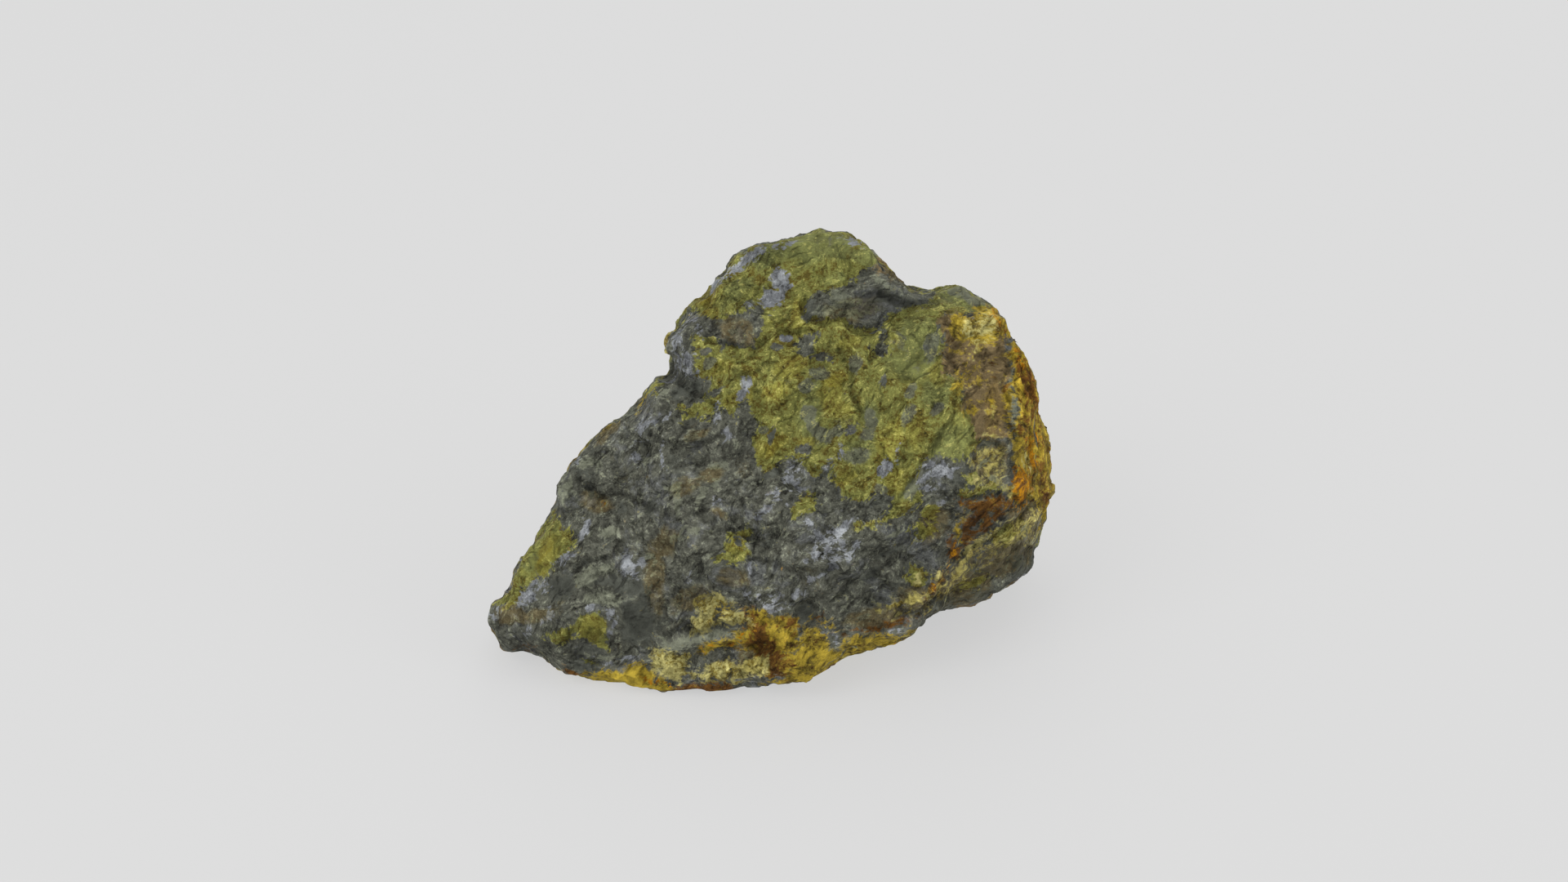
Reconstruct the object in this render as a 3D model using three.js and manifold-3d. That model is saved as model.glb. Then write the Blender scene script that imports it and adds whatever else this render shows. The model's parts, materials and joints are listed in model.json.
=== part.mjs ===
// A hand-sized lump of chalcopyrite ore, broken from one mass: a single closed solid.
// Units are millimetres, +Z is up, and the origin is the middle of the base, on the surface it rests on.
// X runs to the right and Y away from someone who faces the stone's broad front break.
//
// The stone is a finely divided ball whose every vertex is moved along the line from the stone's heart,
// out to the nearest of its breaks and its outline, and then roughened. Last, its base is cut level.

import * as THREE from "three";
import { ImprovedNoise } from "three/addons/math/ImprovedNoise.js";
import { mergeVertices } from "three/addons/utils/BufferGeometryUtils.js";
import Module from "manifold-3d";

const wasm = await Module();
wasm.setup();

// ---- Driving dimensions ----

const HEART_HEIGHT = 29; // the point inside the stone that every break is measured from
const BREAK_ROUNDING = 1.4; // how far neighbouring breaks blend at the edge between them
const RIM_ROUNDING = 0.5; // the same where a break meets the outline's rim
const BALL_DIVISIONS = 20; // how finely the ball's faces are divided

// The outline is what someone sees who looks down on the heart at this angle, from this far.
const SIGHT = { elevation: 30, distance: 560 };

// The outline, clockwise from its peak: [across, up] from the heart.
const OUTLINE = [
  [6.5, 46.5], [11.5, 45.5], [15, 43.5], [18.5, 39.5], [22.5, 36], [26.5, 35], [31, 36], [36.5, 34],
  [40, 30.5], [42, 27.5], [43.5, 24], [46.5, 19], [47, 13], [48.8, 6], [48.6, 2], [49.4, -1],
  [48.2, -5], [47, -11], [46, -16], [42.5, -19], [36, -22], [28, -24], [25, -27], [20.5, -29],
  [12, -31.5], [6, -35.5], [-1.5, -37.5], [-9, -39], [-16.5, -38.5], [-23.5, -38.5], [-28, -37], [-33, -37],
  [-37.5, -35.5], [-43, -33.5], [-45, -31.5], [-51, -31], [-53.5, -28.5], [-54, -25], [-52.5, -21],
  [-48, -14.5], [-44.5, -8.5], [-41.5, -3], [-41, 1.5], [-37.5, 6], [-30, 12.5], [-24, 18], [-20.5, 20.5],
  [-21.5, 22.5], [-21, 27], [-17.5, 32], [-12, 37.5], [-8.5, 41], [-4.5, 44], [0, 43.5], [3, 45],
];

// The outline's notches open wider behind and in front of it: how fast, and past what lean they start to.
// They wander from side to side there too, as a crack does.
const NOTCH = { spread: 0.35, hold: 0.12, samples: [-1, -0.5, 0, 0.5, 1], wander: 0.6, wander_size: 0.3 };

// Each break, as the way it faces and its distance from the heart.
// Azimuth 0 faces the front, 90 the right, 180 the back and -90 the left; elevation is above the level.
const BREAKS = {
  front: { azimuth: -6, elevation: 38, distance: 20.5 },
  front_crown: { azimuth: 6, elevation: 54, distance: 27 },
  front_toe: { azimuth: -28, elevation: 34, distance: 24 },
  front_foot: { azimuth: -8, elevation: 4, distance: 28.5 },
  right_foot: { azimuth: 12, elevation: 8, distance: 27.5 },
  right_cheek: { azimuth: 71, elevation: 8, distance: 46 },
  right_corner: { azimuth: 42, elevation: -14, distance: 38.5 },
  right_underside: { azimuth: 60, elevation: -50, distance: 39.5 },
  left_slope: { azimuth: -106, elevation: 28, distance: 35 },
  top: { azimuth: 140, elevation: 58, distance: 48 },
  back: { azimuth: 178, elevation: 10, distance: 33 },
  back_left: { azimuth: -142, elevation: 4, distance: 33 },
  back_right: { azimuth: 132, elevation: 14, distance: 42 },
  back_underside: { azimuth: -170, elevation: -38, distance: 34 },
  toe_underside: { azimuth: -95, elevation: -48, distance: 53 },
  base: { azimuth: 0, elevation: -90, distance: 29.5 },
};
const LEAST_SHARE = 0.05; // a break more nearly edge-on than this to a direction doesn't limit it

// Hollows and swellings of the front, placed as the outline is: [across, up], half length, half width,
// the turn of the length from level, and the height, which is negative for a hollow.
const FRONT_RELIEF = {
  saddle: { at: [15, 33.5], long: 13, wide: 3.5, turn: -4, height: -3.2 },
  neck: { at: [18, 27], long: 7, wide: 2.2, turn: 80, height: -1.4 },
  head_ledge: { at: [-17, 18.5], long: 9, wide: 2.6, turn: -22, height: -2.4 },
  head_brow: { at: [-13, 24], long: 10, wide: 3.5, turn: -20, height: 1.4 },
  brow_notch: { at: [-6, 24], long: 6, wide: 2, turn: 25, height: -1.0 },
  slate_pocket: { at: [-27, -25], long: 7, wide: 5, turn: -40, height: -1.6 },
  foot_bar: { at: [-14, -28], long: 9, wide: 1.7, turn: 9, height: 1.5 },
  foot_groove: { at: [-13, -31.5], long: 9, wide: 1.6, turn: 9, height: -1.2 },
  foot_pit: { at: [3.5, -24], long: 3, wide: 2.2, turn: 30, height: -2.0 },
  crust_swell: { at: [-11.5, -24], long: 5, wide: 3, turn: 0, height: 1.0 },
  front_bulge: { at: [4, -10], long: 14, wide: 7, turn: 15, height: 1.2 },
  cheek_ridge: { at: [41.5, 14], long: 14, wide: 2.5, turn: 95, height: 1.2 },
  corner_ridge: { at: [33, -7], long: 8, wide: 2.2, turn: 30, height: 1.2 },
};
const RELIEF_FADE = 6; // the relief dies away over this depth as the front turns to the sides

// The roughness of every break: broad swellings, the crests between chips, and small bumps.
const SWELLINGS = { size: 17, height: 2.0 };
const CRESTS = { size: 9, height: 2.4, level: 0.2, blunt: 0.08 };
const BUMPS = { size: 4.2, height: 0.7 };
const NOISE_START = { x: 7.3, y: 2.1, z: 11.7 }; // where in the noise the heart lies
const RIM_CALM = { share: 0.75, lean: 0.14 }; // how much of it is lost at the outline, and over what lean

const GROUND = { width: 300, depth: 20 }; // the block taken off below the base
const WELD = 0.001; // vertices closer than this are one

const STONE_COLOUR = 0x6b6a45;
const STONE_ROUGHNESS = 0.8;
const STONE_METALNESS = 0.15;

// ---- Directions ----

const RIGHT = new THREE.Vector3(1, 0, 0);
const TOWARDS = facing(0, SIGHT.elevation);
const UP = TOWARDS.clone().cross(RIGHT);

function facing(azimuth, elevation) {
  const a = THREE.MathUtils.degToRad(azimuth);
  const e = THREE.MathUtils.degToRad(elevation);
  return new THREE.Vector3(Math.sin(a) * Math.cos(e), -Math.cos(a) * Math.cos(e), Math.sin(e));
}

// ---- Noise ----

const noise = new ImprovedNoise();

function noiseAt(p, size) {
  return noise.noise(p.x / size + NOISE_START.x, p.y / size + NOISE_START.y, p.z / size + NOISE_START.z);
}

// ---- Breaks and outline ----

// The smallest of some lengths, eased where two of them are within a few roundings of each other.
function softLeast(lengths, rounding) {
  const least = Math.min(...lengths);
  const sum = lengths.reduce((s, x) => s + Math.exp((least - x) / rounding), 0);
  return least - rounding * Math.log(sum);
}

// How far the outline is from the heart in the direction [across, up].
function outlineRadius(across, up) {
  const length = Math.hypot(across, up);
  const [x, y] = [across / length, up / length];
  for (let i = 0; i < OUTLINE.length; i++) {
    const [ax, ay] = OUTLINE[i];
    const [bx, by] = OUTLINE[(i + 1) % OUTLINE.length];
    const turn = (bx - ax) * y - (by - ay) * x;
    const along = (ay * x - ax * y) / turn;
    const radius = (ay * (bx - ax) - ax * (by - ay)) / turn;
    if (radius > 0 && along >= 0 && along <= 1) return radius;
  }
  throw new Error("the outline doesn't go all the way round the heart");
}

// The same for a direction that leans out of the outline's plane, where the notches are wider.
function rimRadius(across, up, lean) {
  const spread = NOTCH.spread * Math.max(0, Math.abs(lean) - NOTCH.hold);
  const wander = NOTCH.wander * lean * noiseAt({ x: across, y: up, z: lean }, NOTCH.wander_size);
  const radii = NOTCH.samples.map((k) => {
    const [c, s] = [Math.cos(wander + k * spread), Math.sin(wander + k * spread)];
    return outlineRadius(across * c - up * s, across * s + up * c);
  });
  return Math.min(...radii);
}

// How far the surface is from the heart in a direction: the nearest of the breaks and the outline.
function reach(direction) {
  const lengths = [];
  for (const { azimuth, elevation, distance } of Object.values(BREAKS)) {
    const share = direction.dot(facing(azimuth, elevation));
    if (share > LEAST_SHARE) lengths.push(distance / share);
  }
  const body = softLeast(lengths, BREAK_ROUNDING);
  const across = direction.dot(RIGHT);
  const up = direction.dot(UP);
  const lean = direction.dot(TOWARDS);
  const radius = rimRadius(across, up, lean);
  const narrowing = Math.hypot(across, up) + (radius / SIGHT.distance) * lean;
  return narrowing > LEAST_SHARE ? softLeast([body, radius / narrowing], RIM_ROUNDING) : body;
}

// ---- Relief and roughness ----

// The height that the front's hollows and swellings add at a point, measured from the heart.
function frontRelief(p) {
  const depth = p.dot(TOWARDS);
  if (depth <= 0) return 0;
  const nearness = 1 / (1 - depth / SIGHT.distance);
  const [x, y] = [p.dot(RIGHT) * nearness, p.dot(UP) * nearness];
  let height = 0;
  for (const f of Object.values(FRONT_RELIEF)) {
    const t = THREE.MathUtils.degToRad(f.turn);
    const [dx, dy] = [x - f.at[0], y - f.at[1]];
    const along = (dx * Math.cos(t) + dy * Math.sin(t)) / f.long;
    const aside = (dy * Math.cos(t) - dx * Math.sin(t)) / f.wide;
    height += f.height * Math.exp(-(along ** 2) - aside ** 2);
  }
  return height * Math.min(1, depth / RELIEF_FADE);
}

// Rounded swellings and sinkings.
function lumps(p, { size, height }) {
  return height * noiseAt(p, size);
}

// Narrow crests with broad troughs between them.
function crests(p, { size, height, level, blunt }) {
  return height * (level - Math.hypot(noiseAt(p, size), blunt));
}

function roughness(p, lean) {
  const calm = 1 - RIM_CALM.share * Math.exp(-((lean / RIM_CALM.lean) ** 2));
  return calm * (lumps(p, SWELLINGS) + crests(p, CRESTS) + lumps(p, BUMPS));
}

// ---- The stone ----

function bareGeometry(geometry) {
  geometry.deleteAttribute("normal");
  geometry.deleteAttribute("uv");
  return mergeVertices(geometry, WELD);
}

function stoneGeometry() {
  const geometry = new THREE.IcosahedronGeometry(1, BALL_DIVISIONS);
  const position = geometry.getAttribute("position");
  const direction = new THREE.Vector3();
  for (let i = 0; i < position.count; i++) {
    direction.fromBufferAttribute(position, i).normalize();
    const p = direction.clone().multiplyScalar(reach(direction));
    p.addScaledVector(direction, frontRelief(p) + roughness(p, direction.dot(TOWARDS)));
    position.setXYZ(i, p.x, p.y, p.z + HEART_HEIGHT);
  }
  return bareGeometry(geometry);
}

// Everything just below the level that the stone rests on.
function groundGeometry() {
  const ground = new THREE.BoxGeometry(GROUND.width, GROUND.width, GROUND.depth);
  ground.translate(0, 0, -GROUND.depth / 2);
  return bareGeometry(ground);
}

function toManifold(geometry) {
  const mesh = new wasm.Mesh({
    numProp: 3,
    vertProperties: new Float32Array(geometry.getAttribute("position").array),
    triVerts: new Uint32Array(geometry.index.array),
  });
  return new wasm.Manifold(mesh);
}

// The stone with its base cut level, centred over the origin.
function trimmedGeometry() {
  const trimmed = toManifold(stoneGeometry()).subtract(toManifold(groundGeometry())).getMesh();
  const geometry = new THREE.BufferGeometry();
  geometry.setAttribute("position", new THREE.BufferAttribute(trimmed.vertProperties, 3));
  geometry.setIndex(new THREE.BufferAttribute(trimmed.triVerts, 1));
  geometry.computeBoundingBox();
  const middle = geometry.boundingBox.getCenter(new THREE.Vector3());
  geometry.translate(-middle.x, -middle.y, 0);
  geometry.computeVertexNormals();
  return geometry;
}

const stone = new THREE.Mesh(
  trimmedGeometry(),
  new THREE.MeshStandardMaterial({
    color: STONE_COLOUR,
    roughness: STONE_ROUGHNESS,
    metalness: STONE_METALNESS,
  }),
);
stone.name = "chalcopyrite_ore";

const group = new THREE.Group();
group.add(stone);
export default group;
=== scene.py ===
# A hand-sized lump of chalcopyrite ore: olive-gold ore grown together with grey gangue, blue-grey galena
# grains and a yellow to rust-brown limonite crust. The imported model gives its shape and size. This script
# gives it a finely chipped skin, lays the minerals out on it, and sets the stage.

import json
import math

import bpy
import numpy as np
from bpy.props import FloatProperty, FloatVectorProperty, PointerProperty
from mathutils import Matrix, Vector, noise

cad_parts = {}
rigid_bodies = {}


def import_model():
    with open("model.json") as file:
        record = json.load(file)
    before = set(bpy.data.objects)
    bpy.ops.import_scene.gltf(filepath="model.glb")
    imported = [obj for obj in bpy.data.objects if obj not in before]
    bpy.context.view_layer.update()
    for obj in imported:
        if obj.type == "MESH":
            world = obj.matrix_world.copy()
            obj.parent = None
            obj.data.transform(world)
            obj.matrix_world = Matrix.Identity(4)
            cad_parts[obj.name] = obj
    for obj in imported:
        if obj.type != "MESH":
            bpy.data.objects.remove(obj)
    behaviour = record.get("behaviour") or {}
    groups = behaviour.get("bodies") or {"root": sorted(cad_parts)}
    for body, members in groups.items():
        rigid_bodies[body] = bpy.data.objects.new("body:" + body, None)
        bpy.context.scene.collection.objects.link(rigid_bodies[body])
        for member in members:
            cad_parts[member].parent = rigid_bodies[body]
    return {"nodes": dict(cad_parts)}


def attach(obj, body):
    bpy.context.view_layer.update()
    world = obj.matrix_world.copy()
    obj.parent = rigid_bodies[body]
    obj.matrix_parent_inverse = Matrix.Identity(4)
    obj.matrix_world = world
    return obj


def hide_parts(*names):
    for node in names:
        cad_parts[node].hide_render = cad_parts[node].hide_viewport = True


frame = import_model()

bl_info = {
    "name": "Chalcopyrite Ore Stone",
    "version": (1, 0, 0),
    "blender": (4, 5, 0),
    "location": "View3D > Sidebar > Ore Stone",
    "description": "Builds the skin, minerals and stage of a lump of chalcopyrite ore",
    "category": "Object",
}

STONE_NODE = "chalcopyrite_ore"
STONE_NAME = "ore_stone"
MM = 0.001
# Picks one of many patterns of knocks and growths, the same one each time.
NOISE_SEED = 5

# The point that patches on the front are measured from, in millimetres in the stone's own frame, and the
# line of sight that they are laid out on: it looks down at this angle from this far.
HEART = Vector((2.041, -2.648, 29.0))
SIGHT_ELEVATION = math.radians(30)
SIGHT_DISTANCE = 560.0
RIGHT = Vector((1, 0, 0))
TOWARDS = Vector((0, -math.cos(SIGHT_ELEVATION), math.sin(SIGHT_ELEVATION)))
UP = TOWARDS.cross(RIGHT)

# The camera stands at the end of the line of sight and is aimed this far above the heart. All in millimetres.
AIM_RISE = 7.5
LENS = 70
SENSOR_WIDTH = 36

# The stage, in metres: each light's place, and the setting that gives its power.
FLOOR_SIZE = 6
LIGHT_SIZE = 0.5
LIGHTS = {
    "key_light": ((-0.45, -0.5, 0.62), "key_power"),
    "right_light": ((0.65, -0.25, 0.4), "fill_power"),
    "back_light": ((0.1, 0.7, 0.5), "fill_power"),
}


def linear(red, green, blue):
    """A screen colour, 0 to 255 a channel, as the linear colour that shaders work in."""
    def channel(c):
        c /= 255
        return c / 12.92 if c <= 0.04045 else ((c + 0.055) / 1.055) ** 2.4
    return (channel(red), channel(green), channel(blue))


# ---- Settings ----

def length(name, description, millimetres):
    return FloatProperty(
        name=name, description=description, default=millimetres * MM, min=0, unit="LENGTH", precision=5
    )


def colour(name, description, red, green, blue):
    return FloatVectorProperty(
        name=name, description=description, default=linear(red, green, blue), subtype="COLOR", min=0, max=1
    )


def strength(name, description, default, unit="NONE"):
    return FloatProperty(name=name, description=description, default=default, min=0, unit=unit)


class OreShape(bpy.types.PropertyGroup):
    skin_cell: length("Skin cell", "Width of the faces of the fine skin", 0.55)
    facet_size: length("Facet size", "Width of the small tilted facets of the broken surface", 5.2)
    facet_height: length("Facet height", "How far the facets stand out or in", 0.8)
    chip_size: length("Chip size", "Width of the chips on the facets", 2.0)
    chip_height: length("Chip height", "How far the chips stand out or in", 0.2)
    spur_height: length("Spur height", "How far the small spurs stand out", 0.9)
    nick_depth: length("Nick depth", "How deep the small nicks go", 1.2)
    crease_depth: length("Crease depth", "How deep a crease of full depth goes", 0.8)
    crust_height: length("Crust height", "Height of the knobs on the limonite and cream crust", 0.42)
    pit_depth: length("Pit depth", "Depth of the pits in the cream crust", 0.7)


class OreColours(bpy.types.PropertyGroup):
    gangue: colour("Gangue", "Grey rock between the ore minerals", 98, 99, 88)
    pale_gangue: colour("Pale gangue", "Grey-green streaks and bars", 129, 132, 114)
    # Bright ore is the lightest shade of the ore, and also the colour of the painted glints on it.
    chalcopyrite: colour("Chalcopyrite", "Olive-gold ore mineral", 127, 128, 67)
    bright_ore: colour("Bright ore", "Fresh glints of chalcopyrite", 197, 191, 110)
    gold_ore: colour("Gold ore", "Chalcopyrite with a golden tarnish", 143, 136, 57)
    green_ore: colour("Green ore", "Chalcopyrite with a green tarnish", 117, 122, 72)
    bronze_ore: colour("Bronze ore", "Chalcopyrite with a brown tarnish", 125, 110, 46)
    slate: colour("Slate", "Dark grey flakes", 82, 84, 76)
    galena: colour("Galena", "Blue-grey metallic grains", 131, 134, 137)
    mauve: colour("Mauve stain", "Mauve-brown stain", 125, 108, 76)
    ochre: colour("Ochre", "Yellow limonite crust", 174, 151, 54)
    orange: colour("Orange limonite", "Bright orange limonite", 186, 129, 20)
    rust: colour("Rust", "Red-brown limonite", 101, 69, 30)
    cream: colour("Cream crust", "Pale pitted crust", 176, 168, 106)


class OreStage(bpy.types.PropertyGroup):
    floor_colour: colour("Floor", "Colour of the floor", 119, 119, 119)
    floor_glow: strength("Floor glow", "How bright the floor is without the lights", 0.54)
    sky_strength: strength("Sky strength", "Even light from all around", 0.723)
    key_power: strength("Key power", "Soft light from the upper left", 2.2, "POWER")
    fill_power: strength("Fill power", "Soft light from the right and from behind", 0.9, "POWER")


# ---- Where the minerals lie ----
# Patches on the front are laid out square to the line of sight, in millimetres [across, up] from the heart.
# A spot is (across, up, half length, half width, turn from level in degrees), and may end with a strength.
# A field is a strength and the outline of a larger patch: at 1 it is solid, and at a half it is patchy.

ORE_FIELDS = [
    # the broad field from the peak to the middle of the front
    (1, [(-16.8, 20.5), (-16.5, 26), (-13.5, 27), (-13, 30), (-17.5, 31.5), (-22, 34), (-16, 44), (-5, 50),
     (8, 52), (18, 48), (24, 42), (29, 39), (40, 38), (41, 31), (34.5, 31.7), (30, 30.5), (28.5, 29),
     (29.3, 24.5), (29.6, 20.5), (33, 19.5), (33, 14), (35.5, 12), (36, 8), (34.8, 5.2), (31.5, 4.2),
     (27.5, 5.2), (25.3, 3.2), (24.5, 0.3), (26, -1.5), (25.5, -4.5), (22, -5.5), (19, -7), (13, -9.2),
     (12.8, -8), (17, -7), (18.5, -5), (19.5, -3.5), (17, -2.8), (14, -3.2), (10.5, -3.8), (9.3, -1),
     (8.8, 1.2), (5.5, 1.2), (3.5, 3.2), (0.5, 4.2), (-1, 3.2), (-3.8, 1), (-4.8, 3.8), (-5.6, 7.5),
     (-5.2, 11.5), (-8.4, 13.2), (-9.2, 11.8), (-10.3, 13.8), (-13.8, 11.2), (-15.2, 12.8), (-14.6, 15),
     (-13.4, 19), (-15.5, 19.2)]),
    # the edge of the toe
    (1, [(-42.5, -5), (-39.5, -9), (-37.8, -11), (-40, -13.5), (-43, -16.5), (-45.5, -17.5), (-48, -20.5),
     (-52, -22.5), (-60, -22), (-50, -8)]),
    # islands in the grey
    (1, [(-37.5, -24.5), (-34, -23.8), (-33, -26), (-32.2, -31), (-35, -30.2), (-38, -28.5), (-42, -29.3),
     (-39, -27)]),
    (1, [(-10.5, -9.2), (-7.6, -8.7), (-6.9, -7.4), (-5.4, -9.6), (-7.3, -10.4), (-5.7, -13.6), (-8, -14.1),
     (-10.5, -14.6), (-13, -14.2), (-10.6, -12)]),
    (1, [(3.5, -1.8), (5.5, -2), (6.3, -4.5), (4, -6.2), (1.5, -6.3), (2, -4.5)]),
]
ORE_SPOTS = [
    (-16, 13, 2.6, 1.4, 10), (-24.5, 17.3, 2.8, 1.1, 50), (26.5, -6, 1.7, 1.2, 40),
    (25.6, -8.8, 2.2, 1.4, 30), (36.5, -1.3, 4.0, 1.3, 12), (-41, -28.6, 2.4, 1.0, -10),
    (24.5, -17, 1.6, 2.4, 70), (-49, -21.3, 2.6, 1.2, 30), (34.5, 1.4, 2.0, 1.2, 0),
    (40.5, -9.5, 3.0, 1.6, 30), (35, -18.7, 3.2, 0.9, 15), (-35.6, -33.2, 1.8, 0.8, -8),
]

PALE_FIELDS = [
    # the bar along the foot
    (1, [(-23, -28.5), (-21.5, -29), (-17, -28), (-13, -27.2), (-9.5, -26.6), (-8, -27.6), (-10, -28.6),
     (-15, -29.5), (-20, -30.8), (-22.5, -30.5)]),
    # the streaks between the dark flakes of the toe
    (1, [(-39.5, -17), (-36, -15.5), (-32, -15), (-30.8, -16.3), (-34, -18), (-37, -19.5), (-38.5, -18.5)]),
    (1, [(-37, -21.8), (-34.8, -19.8), (-32.5, -20.3), (-29.5, -21.8), (-27, -21), (-28, -22.3),
     (-30.5, -23.3), (-34.5, -22.6)]),
]
PALE_SPOTS = [
    (-22.3, 16.3, 1.7, 0.9, -50), (-28.6, 12.8, 1.2, 0.8, 70), (-36.5, 3.3, 1.6, 1.3, 40),
    (-34.2, 3.4, 1.2, 0.9, 0), (-40, -1.3, 1.8, 1.3, 80), (-32.2, -9, 1.4, 1.0, 0),
    (-19.2, -4, 3.4, 0.7, -82), (-17, -8.8, 2.6, 0.6, -8), (-20.6, -1, 1.1, 0.6, 0),
    (-15, -2.4, 2.1, 0.7, 60), (-13.2, 2.5, 1.0, 0.8, 20), (-11.4, 2.7, 1.1, 0.7, -40),
    (-12.8, -1.2, 1.1, 0.7, 55), (-34.5, -31.8, 2.8, 0.7, -5), (9.2, 32.8, 1.4, 1.0, 80),
    (14.2, 33.2, 1.0, 0.8, 0), (-26, 3.6, 0.8, 0.8, 0), (43.6, 25.2, 2.0, 0.8, -60),
    (39.4, 20.6, 1.6, 0.8, -70), (39.6, 11, 2.4, 0.8, 75), (42.4, 8.6, 2.6, 0.6, -80),
    (-40.5, 2, 1.2, 0.6, 50), (44.4, 11.6, 2.2, 0.5, 88), (36.6, 3.4, 2.0, 0.6, 25),
    (38.6, 0.4, 1.8, 0.5, -20), (41.8, 18.4, 1.8, 0.6, -75), (44.6, -8.8, 1.8, 0.5, 60),
    (-24.6, -13.5, 1.2, 0.9, 0), (-4, -8.3, 0.9, 0.5, 60), (20.5, -9.5, 1.6, 0.6, 20),
    (-20, -10.6, 1.6, 0.6, -10), (7.4, 31.4, 1.9, 0.8, 10), (12, 31, 2.4, 0.8, 8),
    (10.6, 33.9, 1.9, 0.9, -20), (17.6, 36.6, 2.0, 0.6, -40), (14.6, 30.4, 2.4, 0.8, 20, 0.7),
    (16.4, 32, 1.6, 0.5, -30, 0.7), (42.4, 13.6, 3.4, 0.8, 86), (41, 21.4, 3.4, 0.9, -75),
]

SLATE_FIELDS = [
    (1, [(-43.5, -17.5), (-39.5, -16.5), (-38.8, -19.5), (-41, -22.3), (-43.8, -22)]),
    (1, [(-35, -18.6), (-31, -17), (-28.5, -17), (-25.2, -19), (-24.8, -20.5), (-29, -20.8), (-31.5, -20)]),
    (1, [(-29.5, -22.5), (-25, -20.8), (-24.5, -23.5), (-24, -27), (-25, -30), (-28, -29.5), (-30, -27.5)]),
    # the notch and its crease
    (0.8, [(-21.5, 21.7), (-19, 20.9), (-16.5, 19.6), (-15, 19.6), (-14.6, 16.6), (-16.4, 16.6), (-18, 18.2),
     (-20.8, 20)]),
    # under the saddle
    (1, [(16, 33.5), (17.5, 34.6), (20, 34), (23, 33.2), (26.5, 33.3), (24, 32.3), (20, 32.8), (17.5, 32.4)]),
    # the dark knob at the foot, and the lower right edge
    (1, [(2.5, -25.8), (2.8, -23), (4, -22), (5.8, -23.5), (6, -25.8), (4, -26.5)]),
    (0.5, [(40, -13.7), (42, -12.3), (43.8, -12), (48, -12.5), (47, -18), (42, -21), (33, -25), (27, -25.5),
     (28, -23), (31, -20.8), (36, -18.3), (41, -16.8)]),
]
SLATE_SPOTS = [
    (-35.5, -31, 3.0, 0.8, -5), (-36.6, -34, 3.2, 0.9, -12), (-49.5, -31, 2.8, 0.6, -12),
    (5, 31.4, 1.8, 0.8, 75), (11.5, 32.7, 2.0, 0.7, 0), (-19, 16.4, 1.9, 1.3, 10), (37.2, 6.9, 2.4, 0.9, 12),
    (31.8, 0.2, 1.2, 1.0, 60), (33.6, 2.8, 1.3, 0.9, 50), (19.5, -12.6, 2.9, 0.7, 22),
    (35, -16.4, 2.6, 0.8, 5), (28.6, -22.6, 2.2, 0.8, 45), (25.4, -26, 1.6, 1.1, 60),
    (-10, -27.0, 2.6, 0.5, 5), (-38, 2, 1.6, 0.7, -20), (-35.6, -1.2, 2.2, 0.7, -70),
    (-8, -10.8, 1.3, 0.6, -50), (26.2, 25.3, 0.7, 0.6, 0), (7.7, 2.2, 1.6, 1.3, 0, 0.7),
    (40.4, 17.4, 0.9, 0.7, 0), (-29.8, -5, 1.2, 0.8, 0), (-2, 8.4, 1.3, 0.6, 85), (15.7, -16.5, 2.4, 0.5, 18),
    (30.6, 23.8, 1.9, 0.5, 20), (43.2, -14.4, 1.6, 1.2, 30), (18.4, 18.5, 0.8, 0.5, 80),
    (-24, -4.6, 1.4, 0.8, 10), (-2.5, 1.6, 1.6, 0.9, 35), (7.7, -16.8, 1.7, 0.6, 30),
    (-46.5, -29, 1.8, 0.6, -5), (2, -19.7, 0.8, 0.6, 0),
]

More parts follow.
